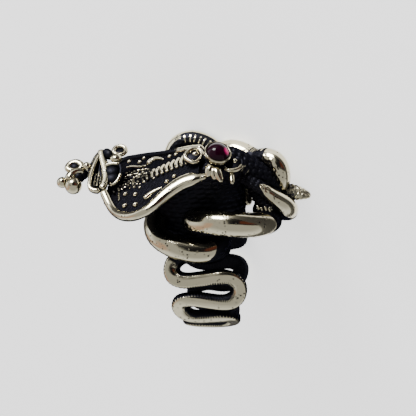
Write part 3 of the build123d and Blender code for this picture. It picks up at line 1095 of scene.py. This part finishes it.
class RING_OT_coils(bpy.types.Operator):
    """Builds the coils of the pile and the tail"""

    bl_idname = "cobra_ring.coils"
    bl_label = "Coils"

    def execute(self, context):
        self.build_ropes()
        self.build_fold()
        self.build_shoulder()
        self.build_tail()
        return {"FINISHED"}

    def build_ropes(self):
        """The four coils, polished outside and scaled inside."""
        pile = settings().pile

        def low_outward(point):
            return from_finger(point) + Vector((-0.25, -0.6, 0.0))

        def front_outward(point):
            """Near and up, and more upward towards its left end."""
            return Vector((0.1, -1.0, 1.5 - 0.12 * point.x + 1.8 * eased(4.0, -1.0, point.x)))

        def arched(u, v):
            """Dark inside the arch but for ribs and a polished line along its top edge, which is also a
            painted highlight, and toothed in the dip.
            """
            ribbing = eased(0.2, 0.6, math.sin(v * 320))
            ribbing *= eased(0.5, 0.2, facing(u)) * eased(-0.7, -0.3, facing(u))
            # A polished stripe along the arch's top edge, which is also a painted highlight
            line = eased(0.90, 0.97, math.cos((u - 0.42) * math.tau))
            teeth = 0.85 * eased(0.3, 0.8, math.sin(v * 420)) * eased(0.2, 0.6, facing(u))
            low = -0.95 + 0.95 * eased(0.27, 0.38, v)
            arch, dip = within(RAISED_ARCH, v), within(RAISED_DIP, v)
            elsewhere = (1 - dip) * eased(low, low + 0.3, facing(u)) + dip * teeth
            return (1 - arch) * elsewhere + arch * max(ribbing, line)

        low = []
        for x, degrees, lift in LOW_COIL:
            radius = seat_radius() + lift * pile.low_rope
            low.append(band_point(x * pile.length, math.radians(degrees), radius))
        # Name, route, diameter, which way it faces, and polish
        ropes = (
            ("low_coil", low, pile.low_rope, low_outward,
             shine((-0.35, 0.05), (0.06, 0.30), (0.15, 0.34))),
            ("front_coil", on_pile(FRONT_COIL), pile.front_rope, front_outward,
             shine((-0.25, 0.05), (0.10, 0.22), (0.10, 0.28), full=1.15)),
            ("cross_coil", on_pile(CROSS_COIL), pile.cross_rope, towards(0.35, -0.8, 0.8),
             shine((-0.25, 0.10), (0.10, 0.48), (0.30, 0.42))),
            ("raised_coil", on_pile(RAISED_COIL), pile.loop_rope, from_pile, arched),
        )
        for name, points, rope, outward, polish in ropes:
            leaves_neck = name == "cross_coil"
            taper = pile.lead_in if leaves_neck else 0.01

            def thick(v, rope=rope, taper=taper):
                return rope / 2 * (0.35 + 0.65 * eased(0, taper, v))

            def relief(u, distance, leaves_neck=leaves_neck):
                """Small scales inside, and coarse ones all round where a coil leaves the neck."""
                inner = eased(0.30, 0.0, facing(u))
                small = scales(u, distance, 16, pile.scale_size, pile.scale_depth) * inner
                coarse = eased(8.0, 5.0, distance) if leaves_neck else 0.0
                return small + coarse * scales(u, distance, 12, 0.9, 0.3)

            bm = new_piece()
            lay_rope(bm, points, thick, None, outward, around=64, spacing=0.16, relief=relief,
                     polish=polish, passes=14)
            finish_piece(bm, name, "silver")

    def build_fold(self):
        """The dark fold with its claws, and the strand beside the neck."""
        near = towards(0, -1, 0.3)

        def relief(u, distance):
            return ribs(distance, 0.7, 0.3) + scales(u, distance, 12, 0.7, 0.1)

        def polish(u, v):
            return 0.3 + 0.5 * eased(0.75, 1.0, v)

        bm = new_piece()
        lay_rope(bm, on_pile(FOLD), 1.2, 1.5, near, around=56, spacing=0.1, relief=relief, polish=polish)
        for root in FOLD_CLAWS:
            tip = Vector(root) + Vector(CLAW_REACH)
            lay_rope(bm, on_pile((root, tip)), 0.27, around=14, spacing=0.1)
        lay_rope(bm, on_pile(INNER_STRAND), 0.8, None, near, around=24, spacing=0.2, polish=0.8)
        finish_piece(bm, "inner_fold", "silver")

    def build_shoulder(self):
        """The coarse shoulder, with a comb of short ribs along its upper edge."""
        def crown(u):
            """1 along the shoulder's upper edge."""
            return eased(0.35, 0.8, math.cos((u - 0.66) * math.tau))

        def relief(u, distance):
            comb = crown(u) * eased(5.5, 3.5, distance)
            return scales(u, distance, 13, 1.0, 0.34) * (1 - comb) + ribs(distance, 0.8, 0.9) * comb

        def polish(u, v):
            ridges = eased(0.80, 0.98, abs(math.sin(math.pi * v * 17)))
            return 0.33 + 0.55 * crown(u) * eased(0.46, 0.32, v) * ridges

        bm = new_piece()
        lay_rope(bm, on_pile(SHOULDER), settings().pile.shoulder_rope / 2, None, towards(0.2, -0.9, 0.6),
                 around=80, spacing=0.12, relief=relief, polish=polish, passes=14)
        finish_piece(bm, "shoulder", "silver")

    def build_tail(self):
        """The tail's feathered tip."""
        def wide(v):
            """A leaf's outline."""
            return 1.35 * math.sin(math.pi * min(0.25 + 0.72 * v, 1)) ** 0.8 + 0.12

        def high(v):
            return 0.55 * wide(v)

        def relief(u, distance):
            barbs = abs(u - 0.5) * 5 + distance * 1.4
            return 0.22 * abs(math.sin(math.pi * barbs))

        def polish(u, v):
            edge = eased(0.35, 0.1, abs(facing(u))) * eased(0.45, 0.8, v)
            return max(0.5 + 0.14 * eased(0.4, 0.8, v), edge)

        bm = new_piece()
        lay_rope(bm, on_pile(TAIL_END), high, wide, towards(0, -0.75, 0.65), around=56, spacing=0.1,
                 relief=relief, polish=polish)
        finish_piece(bm, "tail_end", "silver")


class RING_OT_neck(bpy.types.Operator):
    """Builds the scaled neck"""

    bl_idname = "cobra_ring.neck"
    bl_label = "Neck"

    def execute(self, context):
        pile = settings().pile
        low, high = NECK_SECTIONS[0][0], NECK_SECTIONS[-1][0]

        def place(u, v):
            z = low + (high - low) * v
            x, y, wide, deep = (between(NECK_SECTIONS, z, column) for column in (1, 2, 3, 4))
            end = min(v * 30, (1 - v) * 12, 1)
            closing = math.sqrt(max(1 - (1 - end) ** 2, 0))
            angle = u * math.tau
            out_x = math.cos(angle) * wide * pile.neck_length * closing
            out_y = math.sin(angle) * deep * pile.neck_depth * closing
            return pile_point(x, y, z) + Vector((out_x, out_y, 0))

        def relief(u, v):
            distance = v * pile.height * (high - low)
            return scales(u, distance, 26, pile.scale_size * 1.25, pile.scale_depth * 1.5)

        bm = new_piece()
        lay(bm, place, 180, 110, relief, 0.22)
        finish_piece(bm, "neck", "silver")
        return {"FINISHED"}


class RING_OT_hood(bpy.types.Operator):
    """Builds the hood and its rims"""

    bl_idname = "cobra_ring.hood"
    bl_label = "Hood"

    def execute(self, context):
        self.build_plate()
        self.build_rim("near_rim", -1)
        self.build_rim("far_rim", 1)
        return {"FINISHED"}

    def build_plate(self):
        """The thin plate, smooth on its face, the grid's first half, and scaled underneath."""
        hood = settings().hood
        last = HOOD_STATIONS[-1][0]

        def place(u, v):
            across, lift = (u * 4 - 1, -hood.recess) if u <= 0.5 else (3 - u * 4, -hood.wall)
            point = wing_point(v * last, across * 0.985)
            end = min(v, 1 - v) * hood.length
            if end < 0.25:
                middle = (-hood.recess - hood.wall) / 2
                lift = middle + (lift - middle) * eased(0, 0.25, end)
            return point + Vector((0, 0, lift))

        def relief(u, v):
            if u <= 0.5:
                return 0.05 * noise.noise(Vector((u * 60, v * 46, 0.0)))
            return scales(2 - u * 2, v * last * hood.length, 18, 1.05, 0.16)

        def polish(u, v):
            return 0.16 if u <= 0.5 else 0.3

        bm = new_piece()
        lay(bm, place, 190, 150, relief, polish)
        finish_piece(bm, "hood", "silver")

    def build_rim(self, name, side):
        """A rolled rim. The near one is the stouter, and runs on from the pile to the mouth."""
        hood = settings().hood
        far = side > 0
        drop = Vector((0, 0, -hood.wall / 2))
        points = [wing_point(row[0], side) + drop for row in HOOD_STATIONS]
        if not far:
            points = [pile_point(*RIM_START)] + points[1:-1] + [mouth_point(*RIM_END)]

        def wide(v):
            if far:
                return hood.rim * 0.36
            return hood.rim * (0.74 - 0.32 * eased(0.12, 0.6, v)) * (0.40 + 0.60 * eased(0, 0.12, v))

        def high(v):
            if far:
                return hood.rim * 0.5
            return hood.rim * 0.5 * (0.45 + 0.55 * eased(0, 0.10, v))

        def polish(u, v):
            face = eased(-0.25, 0.15, facing(u))
            return face * (0.35 + 0.65 * eased(0.36, 0.16, v)) if far else face

        bm = new_piece()
        lay_rope(bm, points, high, wide, towards(0, -0.45, 0.9), around=40, spacing=0.16,
                 polish=polish, passes=20, power=2.4)
        finish_piece(bm, name, "silver")


class RING_OT_hood_work(bpy.types.Operator):
    """Builds the ladder of scutes, the dots, teardrops and curls on the hood"""

    bl_idname = "cobra_ring.hood_work"
    bl_label = "Hood work"

    def execute(self, context):
        outward = towards(0, -0.3, 0.95)
        bm = new_piece()
        for index in range(SCUTES):
            self.lay_scute(bm, SCUTE_START + SCUTE_PITCH * index, outward)
        finish_piece(bm, "belly_scutes", "silver")

        bm = new_piece()
        for along, across, size in HOOD_DOTS:
            radius = settings().hood.dot_radius * size
            lay_ball(bm, panel_point(along, across, 0.12), radius, detail=10)
        self.lay_lumps(bm)

        def tear(v):
            return 0.52 * (1 - v) ** 0.8 + 0.12

        # Route, radius and polish
        lines = (
            (NEAR_TEAR, tear, 0.95),
            (FAR_TEAR, tear, 0.95),
            (NEAR_CURL, 0.2, 0.62),
            (WAVY_LINE, 0.2, 0.95),
        )
        for table, size, polish in lines:
            points = [panel_point(along, across, 0.12) for along, across in table]
            lay_rope(bm, points, size, None, outward, around=16, spacing=0.12, polish=polish)
        finish_piece(bm, "hood_work", "silver")
        return {"FINISHED"}

    def lay_scute(self, bm, along, outward):
        """A bowed bar across the middle of the hood, wider and brighter towards the collar."""
        large = along < SMALL_SCUTES
        half = 2.1 - 1.1 * along if large else 1.1
        thick = 0.34 if large else 0.24
        across = wing_direction(1)
        middle = panel_point(along, 0.001) + across * (1.15 - 2.3 * along)
        points = []
        for step in (-1.0, -0.5, 0.0, 0.5, 1.0):
            bow = 0.45 * (1 - step * step) - 0.2
            points.append(middle + across * (half * step) + Vector((-bow, 0, 0.18)))
        lay_rope(bm, points, thick, thick * 0.95, outward, around=14, spacing=0.14,
                 polish=0.95 - 0.4 * eased(0.34, 0.5, along), passes=3)

    def lay_lumps(self, bm):
        """Rows of low lumps, shifted and swollen by noise, from the middle out over the far wing."""
        for row in range(LUMP_ROWS):
            for column in range(LUMP_COLUMNS):
                spot = Vector((row * 1.7, column * 1.3, 0.5))
                forward, sideways, swell = (noise.noise(spot + Vector(step)) for step in LUMP_NOISE)
                share = row / (LUMP_ROWS - 1)
                along = 0.73 - 0.024 * column + 0.016 * forward
                across = (0.44 - 0.012 * column) * share - 0.13 * (1 - share) + 0.05 * sideways
                lay_ball(bm, panel_point(along, across, 0.05), 0.25 + 0.22 * swell, (1.4, 0.8, 1.0),
                         detail=6, polish=0.66 + 0.6 * forward)


class RING_OT_head(bpy.types.Operator):
    """Builds the jaws, lips, brows and crest"""

    bl_idname = "cobra_ring.head"
    bl_label = "Head"

    def execute(self, context):
        out = towards(*mouth_axes()[3])
        self.build_jaws()
        self.build_lips(out)
        self.build_brows(out)
        self.build_crest(out)
        return {"FINISHED"}

    def build_jaws(self):
        """The jaws: the grid's first part lines the mouth, and the rest is their outside."""
        head = settings().head
        origin, x, y, z = mouth_axes()
        half, bulge = head.length / 2, head.gape / 2

        def lens(angle, reach, rise, level):
            """A point on an outline of two arcs, which meet at the ends of its reach."""
            reach, rise = reach + 1e-4, rise + 1e-4
            along = reach * math.cos(angle)
            radius = (reach * reach + rise * rise) / (2 * rise)
            across = math.sqrt(max(radius * radius - along * along, 0)) - (radius - rise)
            across = math.copysign(max(across, 0), math.sin(angle))
            return origin + x * along + y * (across + 0.35 - 0.06 * along) + z * level

        def place(u, v):
            angle = u * math.tau
            if v < MOUTH_SHARE:
                turn = v / MOUTH_SHARE * math.pi / 2
                grow = math.sin(turn)
                return lens(angle, half * 0.93 * grow, bulge * 0.9 * grow, -MOUTH_DEPTH * math.cos(turn))
            share = (v - MOUTH_SHARE) / (1 - MOUTH_SHARE)
            level = -head.jaw_depth * math.sin(share * math.pi / 2) ** 1.2
            shrink = math.cos(share * math.pi / 2) ** 0.45 if share < 1 else 0.0
            reach = half * (1.1 - 0.3 * share) * shrink
            return lens(angle, reach, (bulge + 0.5) * (1 - 0.1 * share) * shrink, level)

        def relief(u, v):
            if v < MOUTH_SHARE:
                return 0.0
            angle = u * math.tau
            return 0.10 * noise.noise(Vector((math.cos(angle) * 4, math.sin(angle) * 4, v * 9)))

        def polish(u, v):
            return 0.05 if v < 0.4 else 0.55

        bm = new_piece()
        lay(bm, place, 96, 60, relief, polish)
        finish_piece(bm, "head_jaws", "silver")

    def build_lips(self, out):
        """The two lips, and the folds inside the mouth."""
        def polish(u, v):
            return eased(-0.1, 0.3, facing(u))

        bm = new_piece()
        for table, width in ((CREST_LIP, 0.40), (BROW_LIP, 0.68)):
            points = [mouth_point(along, across, 0.02) for along, across in table]
            lay_rope(bm, points, 0.62, width, out, around=32, spacing=0.14, passes=12, power=2.8,
                     polish=polish)
        for table in MOUTH_RIDGES:
            lay_rope(bm, in_mouth(table), 0.3, None, out, around=16, spacing=0.14, polish=0.58)
        finish_piece(bm, "lips", "silver")

    def build_brows(self, out):
        """The bar, block, loop, curl and lumps on the mouth's near side."""
        def polish(u, v):
            return 0.45 + 0.5 * eased(0.3, 0.6, v)

        curl = facing_frame(mouth_point(*BROW_CURL), mouth_axes()[3])
        bm = new_piece()
        lay_rope(bm, in_mouth(BROW_BAR), 0.36, None, out, around=20, spacing=0.12, polish=0.75)
        lay_rope(bm, in_mouth(BROW_BLOCK), 1.0, 0.9, out, around=32, spacing=0.14, polish=0.42)
        lay_rope(bm, in_mouth(NEAR_BROW), 0.34, None, out, around=20, spacing=0.12, polish=polish)
        lay_rope(bm, ring_points(curl, 1.15, squash=0.92), 0.42, None, out, closed=True, around=22,
                 spacing=0.12)
        lay_ball(bm, curl @ Vector((0.0, 0.0, -0.45)), 1.15, detail=14, stretch=(1, 1, 0.5), polish=0.0)
        for place, radius, bright in BROW_LUMPS:
            lay_ball(bm, mouth_point(*place), radius, detail=16, stretch=(1, 1, 0.75), polish=bright)
        finish_piece(bm, "brows", "silver")

    def build_crest(self, out):
        """The stem, crescent, petal and lumps on the mouth's far side."""
        def swelling(v):
            return 0.48 + 0.6 * v

        bm = new_piece()
        lay_rope(bm, in_mouth(CREST_STEM), 0.5, None, out, around=24, spacing=0.14, polish=0.4)
        lay_rope(bm, in_mouth(CREST_CRESCENT), swelling, None, out, around=26, spacing=0.14)
        lay_rope(bm, in_mouth(CREST_PETAL), 0.5, 0.62, out, closed=True, around=24, spacing=0.12,
                 polish=0.9)
        for place, radius, bright in CREST_LUMPS:
            lay_ball(bm, mouth_point(*place), radius, detail=20, polish=bright)
        finish_piece(bm, "crest", "silver")


class RING_OT_collar(bpy.types.Operator):
    """Builds the bezel, medallion, curl, leaf and prong"""

    bl_idname = "cobra_ring.collar"
    bl_label = "Collar"

    def execute(self, context):
        medal = facing_frame(pile_point(*MEDAL_PLACE), MEDAL_AXIS)
        level = medal.to_3x3()
        out = towards(*(level @ Vector((0, 0, 1))))
        self.build_bezel()
        self.build_medallion(medal, level, out)
        self.build_curl_and_leaf(level, out)
        return {"FINISHED"}

    def build_bezel(self):
        """The bezel, turned from its outline."""
        collar = settings().collar
        seat = stone_seat()
        inner = collar.stone_radius + collar.clearance
        outer = inner + collar.bezel_wall
        top = collar.girdle / 2
        # Radius and height of the outline, from the cup's floor over the rim to the foot
        outline = (
            (0.0, top - collar.girdle), (inner, top - collar.girdle), (inner, top - 0.1),
            (inner + 0.1, top + 0.06), (outer - 0.1, top + 0.06), (outer + 0.02, top - 0.15),
            (outer - 0.08, top - 0.9), (outer - 0.5, top - 1.6), (outer - 0.9, top - 2.6), (0.0, top - 3.0),
        )

        def place(u, v):
            step = v * (len(outline) - 1)
            index = min(int(step), len(outline) - 2)
            radius, height = Vector(outline[index]).lerp(Vector(outline[index + 1]), step - index)
            angle = u * math.tau
            return seat @ Vector((radius * math.cos(angle), radius * math.sin(angle), height))

        def polish(u, v):
            return eased(0.16, 0.24, v) * eased(0.75, 0.6, v)

        bm = new_piece()
        lay(bm, place, 72, 54, None, polish)
        finish_piece(bm, "bezel", "silver")

    def build_medallion(self, medal, level, out):
        """The medallion: an eye-shaped ring with a pupil, on a dark cushion."""
        bm = new_piece()
        lay_rope(bm, on_pile(MEDAL_EYE), 0.42, 0.36, out, closed=True, around=22, spacing=0.12, passes=4)
        lay_ball(bm, pile_point(*MEDAL_PUPIL), 0.62, detail=14, stretch=(1.1, 0.9, 0.7), turn=level)
        lay_ball(bm, medal @ Vector((0.1, 0.3, -0.8)), 1.7, detail=18, stretch=(1, 0.85, 0.5),
                 turn=level, polish=0.1)
        finish_piece(bm, "medallion", "silver")

    def build_curl_and_leaf(self, level, out):
        """The curl round its bump, on a dark cushion, the leaf's three lobes and the prong."""
        def swelling(least, more, power=1.0):
            """A radius that swells by more in the middle."""
            return lambda v: least + more * math.sin(math.pi * v ** power)

        def polish(u, v):
            return 1 - 0.6 * eased(0.6, 0.8, v)

        bm = new_piece()
        lay_rope(bm, on_pile(CURL_ARC), swelling(0.22, 0.16), None, out, around=20, spacing=0.12,
                 polish=polish)
        lay_ball(bm, pile_point(*CURL_PLACE), 1.35, detail=18, stretch=(1, 1, 0.5), turn=level, polish=0.1)
        lay_ball(bm, pile_point(*CURL_BUMP), 0.5, detail=12)
        root = pile_point(*LEAF_ROOT)
        for tip, lobe in LEAF_TIPS:
            end = pile_point(*tip)
            middle = root.lerp(end, 0.5) + Vector((0, -0.35, 0.2))
            lay_rope(bm, [root, middle, end], swelling(0.30, lobe, power=0.8), None, out, around=26,
                     spacing=0.1, polish=0.95)
        lay_rope(bm, on_pile(PRONG), swelling(0.30, 0.2), None, out, around=20, spacing=0.1)
        finish_piece(bm, "collar_work", "silver")


class RING_OT_garnet(bpy.types.Operator):
    """Builds the round cabochon"""

    bl_idname = "cobra_ring.garnet"
    bl_label = "Garnet"

    def execute(self, context):
        collar = settings().collar
        seat = stone_seat()
        radius, rise = collar.stone_radius, collar.stone_height
        dome = (radius * radius + rise * rise) / (2 * rise)
        bottom = -collar.girdle / 2

        def place(u, v):
            """Over the flat back, up the girdle, then over the dome."""
            angle = u * math.tau
            if v < 0.15:
                reach, height = radius * v / 0.15, bottom
            elif v < 0.3:
                reach, height = radius, bottom + collar.girdle * (v - 0.15) / 0.15
            else:
                reach = radius * math.cos((v - 0.3) / 0.7 * math.pi / 2)
                arc = math.sqrt(max(dome * dome - reach * reach, 0))
                height = bottom + collar.girdle + rise - dome + arc
            return seat @ Vector((reach * math.cos(angle), reach * math.sin(angle), height))

        bm = new_piece()
        lay(bm, place, 64, 48)
        finish_piece(bm, "garnet_stone", "garnet")
        return {"FINISHED"}


class RING_OT_patina(bpy.types.Operator):
    """Measures how open each place is, for the dark oxide in the recesses"""

    bl_idname = "cobra_ring.patina"
    bl_label = "Patina"

    def execute(self, context):
        patina = settings().patina
        pieces = [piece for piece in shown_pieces() if "open" in piece.data.attributes]
        whole = bmesh.new()
        for piece in pieces:
            whole.from_mesh(piece.data)
        tree = BVHTree.FromBMesh(whole)
        whole.free()
        reach = patina.reach * MILLIMETRE
        golden = math.pi * (3 - math.sqrt(5))
        rays = []
        for index in range(patina.rays):
            height = 1 - (index + 0.5) / patina.rays * 0.88
            flat = math.sqrt(1 - height * height)
            rays.append(Vector((flat * math.cos(golden * index), flat * math.sin(golden * index), height)))
        for piece in pieces:
            least = patina.front_least if piece.name.startswith("front_coil") else 0.0
            values = []
            for vert in piece.data.vertices:
                turn = vert.normal.to_track_quat("Z", "Y")
                start = vert.co + vert.normal * RAY_START
                free = 0.0
                for ray in rays:
                    distance = tree.ray_cast(start, turn @ ray, reach)[3]
                    free += 1.0 if distance is None else patina.blocked * distance / reach
                values.append(max(free / patina.rays, least))
            piece.data.attributes["open"].data.foreach_set("value", values)
        return {"FINISHED"}


class RING_OT_stage(bpy.types.Operator):
    """Sets the camera, the pale floor and the soft light"""

    bl_idname = "cobra_ring.stage"
    bl_label = "Stage"

    def execute(self, context):
        scene = context.scene
        self.place_camera(scene)
        self.lay_floor(scene)
        self.hang_lamps(scene)
        self.light_world(scene)
        return {"FINISHED"}

    def view_axes(self):
        """Towards the camera, upward and to the right in its picture, as the ring is worn."""
        turn, rise, roll = (math.radians(angle) for angle in (CAMERA_TURN, CAMERA_RISE, CAMERA_ROLL))
        back = Vector((math.sin(turn) * math.cos(rise), -math.cos(turn) * math.cos(rise), math.sin(rise)))
        level = Vector((math.cos(turn), math.sin(turn), 0))
        top = back.cross(level)
        upward = top * math.cos(roll) - level * math.sin(roll)
        right = level * math.cos(roll) + top * math.sin(roll)
        return back, upward, right

    def laid_axes(self):
        """The same, as the ring lies."""
        turned = Matrix(axes())
        return tuple(turned @ axis for axis in self.view_axes())

    def place_camera(self, scene):
        """Aims past the finger's middle, so that the ring lands where it is in the photo."""
        back, upward, right = self.laid_axes()
        half = PICTURE_SIZE / 2
        aside = (half - RING_AT[0]) / CAMERA_FOCUS
        below = (half - RING_AT[1]) / CAMERA_FOCUS
        sight = (right * aside - upward * below - back).normalized()
        side = sight.cross(upward).normalized()
        look = Matrix((side, side.cross(sight), -sight)).transposed()
        place = to_row().translation + back * CAMERA_DISTANCE * MILLIMETRE
        camera = bpy.data.objects.new("camera", bpy.data.cameras.new("camera"))
        camera.matrix_world = Matrix.Translation(place) @ look.to_4x4()
        camera.data.sensor_width = CAMERA_SENSOR
        camera.data.lens = CAMERA_FOCUS / PICTURE_SIZE * CAMERA_SENSOR
        camera.data.clip_start = 0.01
        camera.data.clip_end = 10
        scene.collection.objects.link(camera)
        scene.camera = camera

    def lay_floor(self, scene):
        """A pale floor that the metal mirrors as dark, but for the part under the ring."""
        bm = bmesh.new()
        bmesh.ops.create_grid(bm, x_segments=1, y_segments=1, size=FLOOR_REACH)
        mesh = bpy.data.meshes.new("floor")
        bm.to_mesh(mesh)
        bm.free()
        floor = bpy.data.objects.new("floor", mesh)
        floor.location.z = -FLOOR_DROP
        scene.collection.objects.link(floor)
        material, tree, shader, place = new_material("pale_floor")
        apart = linked(tree, "ShaderNodeVectorMath", {0: place}, operation="LENGTH")
        beyond = rising(tree, apart.outputs["Value"], *FLOOR_EDGE)
        mirrored = tree.nodes.new("ShaderNodeLightPath").outputs["Is Glossy Ray"]
        hidden = maths(tree, "MULTIPLY", beyond, mirrored)
        feed(tree, shader, {
            "Base Color": blended(tree, hidden, *FLOOR_COLOURS),
            "Roughness": FLOOR_ROUGHNESS,
            "Emission Color": (1, 1, 1, 1),
            "Emission Strength": mixed(tree, hidden, *FLOOR_GLOWS),
        })
        mesh.materials.append(material)
        floor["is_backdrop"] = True

    def hang_lamps(self, scene):
        """Two broad lamps that point at the finger's middle."""
        back, upward, right = self.laid_axes()
        for name, (ahead, above, aside), size, power in LAMPS:
            place = back * ahead + upward * above + right * aside
            lamp = bpy.data.lights.new(name, "AREA")
            lamp.size = size
            lamp.energy = power
            holder = bpy.data.objects.new(name, lamp)
            holder.location = to_row().translation + place
            holder.rotation_mode = "QUATERNION"
            holder.rotation_quaternion = (-place).to_track_quat("-Z", "Y")
            scene.collection.objects.link(holder)
            holder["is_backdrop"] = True

    def light_world(self, scene):
        """A bright room with a strip lit overhead, a dark patch round the camera and to its right,
        brown inside, and a pink place low at the left. The camera itself sees a plain pale room."""
        world = bpy.data.worlds.new("studio")
        world.use_nodes = True
        scene.world = world
        tree = world.node_tree
        way = tree.nodes.new("ShaderNodeTexCoord").outputs["Generated"]
        parts = []
        for axis in self.laid_axes():
            dot = linked(tree, "ShaderNodeVectorMath", {0: way, 1: tuple(axis)}, operation="DOT_PRODUCT")
            parts.append(dot.outputs["Value"])
        ahead, above, aside = parts
        angle = maths(tree, "ARCTAN2", above, ahead)
        room = blended(tree, rising(tree, ahead, *NEAR_EDGE), ROOM_FAR, ROOM_NEAR)
        room = blended(tree, strip(tree, angle, *LIT_ANGLE), room, ROOM_LIT)
        patch = maths(tree, "MULTIPLY", strip(tree, above, *DARK_UPWARD), strip(tree, aside, *DARK_RIGHT))
        patch = maths(tree, "MULTIPLY", patch, rising(tree, ahead, *DARK_EDGE, kind="LINEAR"))
        brown = maths(tree, "MULTIPLY", strip(tree, aside, *BROWN_RIGHT), strip(tree, above, *BROWN_UPWARD))
        room = blended(tree, patch, room, blended(tree, brown, ROOM_DARK, ROOM_BROWN))
        pink = maths(tree, "MULTIPLY", strip(tree, aside, *PINK_RIGHT), rising(tree, angle, *PINK_EDGE))
        room = blended(tree, pink, room, ROOM_PINK)
        seen = tree.nodes.new("ShaderNodeLightPath").outputs["Is Camera Ray"]
        room = blended(tree, seen, room, ROOM_SEEN)
        feed(tree, tree.nodes["Background"], {"Color": room, "Strength": 1.0})


class CobraRingSettings(bpy.types.PropertyGroup):
    band: PointerProperty(type=RingBandSettings, name="Band", description="The winding band")
    pile: PointerProperty(type=RingPileSettings, name="Pile", description="The coils and the neck")
    hood: PointerProperty(type=RingHoodSettings, name="Hood", description="The spread hood")
    head: PointerProperty(type=RingHeadSettings, name="Head", description="The open jaws")
    collar: PointerProperty(type=RingCollarSettings, name="Collar", description="The stone and its bezel")
    patina: PointerProperty(type=RingPatinaSettings, name="Patina", description="The dark recesses")
    finish: PointerProperty(type=RingFinishSettings, name="Finish", description="The colours")


STEPS = ("band", "coils", "neck", "hood", "hood_work", "head", "collar", "garnet", "patina", "stage")


class RING_PT_sidebar(bpy.types.Panel):
    """Buttons that build the ring, in order"""

    bl_idname = "RING_PT_sidebar"
    bl_label = "Cobra ring"
    bl_space_type = "VIEW_3D"
    bl_region_type = "UI"
    bl_category = "Ring"

    def draw(self, context):
        for step in STEPS:
            self.layout.operator("cobra_ring." + step)


CLASSES = (
    RingBandSettings, RingPileSettings, RingHoodSettings, RingHeadSettings, RingCollarSettings,
    RingPatinaSettings, RingFinishSettings, CobraRingSettings, RING_OT_band, RING_OT_coils,
    RING_OT_neck, RING_OT_hood, RING_OT_hood_work, RING_OT_head, RING_OT_collar, RING_OT_garnet,
    RING_OT_patina, RING_OT_stage, RING_PT_sidebar,
)


def register():
    for cls in CLASSES:
        bpy.utils.register_class(cls)
    bpy.types.Scene.cobra_ring = PointerProperty(type=CobraRingSettings)


def unregister():
    del bpy.types.Scene.cobra_ring
    for cls in reversed(CLASSES):
        bpy.utils.unregister_class(cls)


def main():
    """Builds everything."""
    register()
    for step in STEPS:
        getattr(bpy.ops.cobra_ring, step)()


if __name__ == "__main__":
    main()
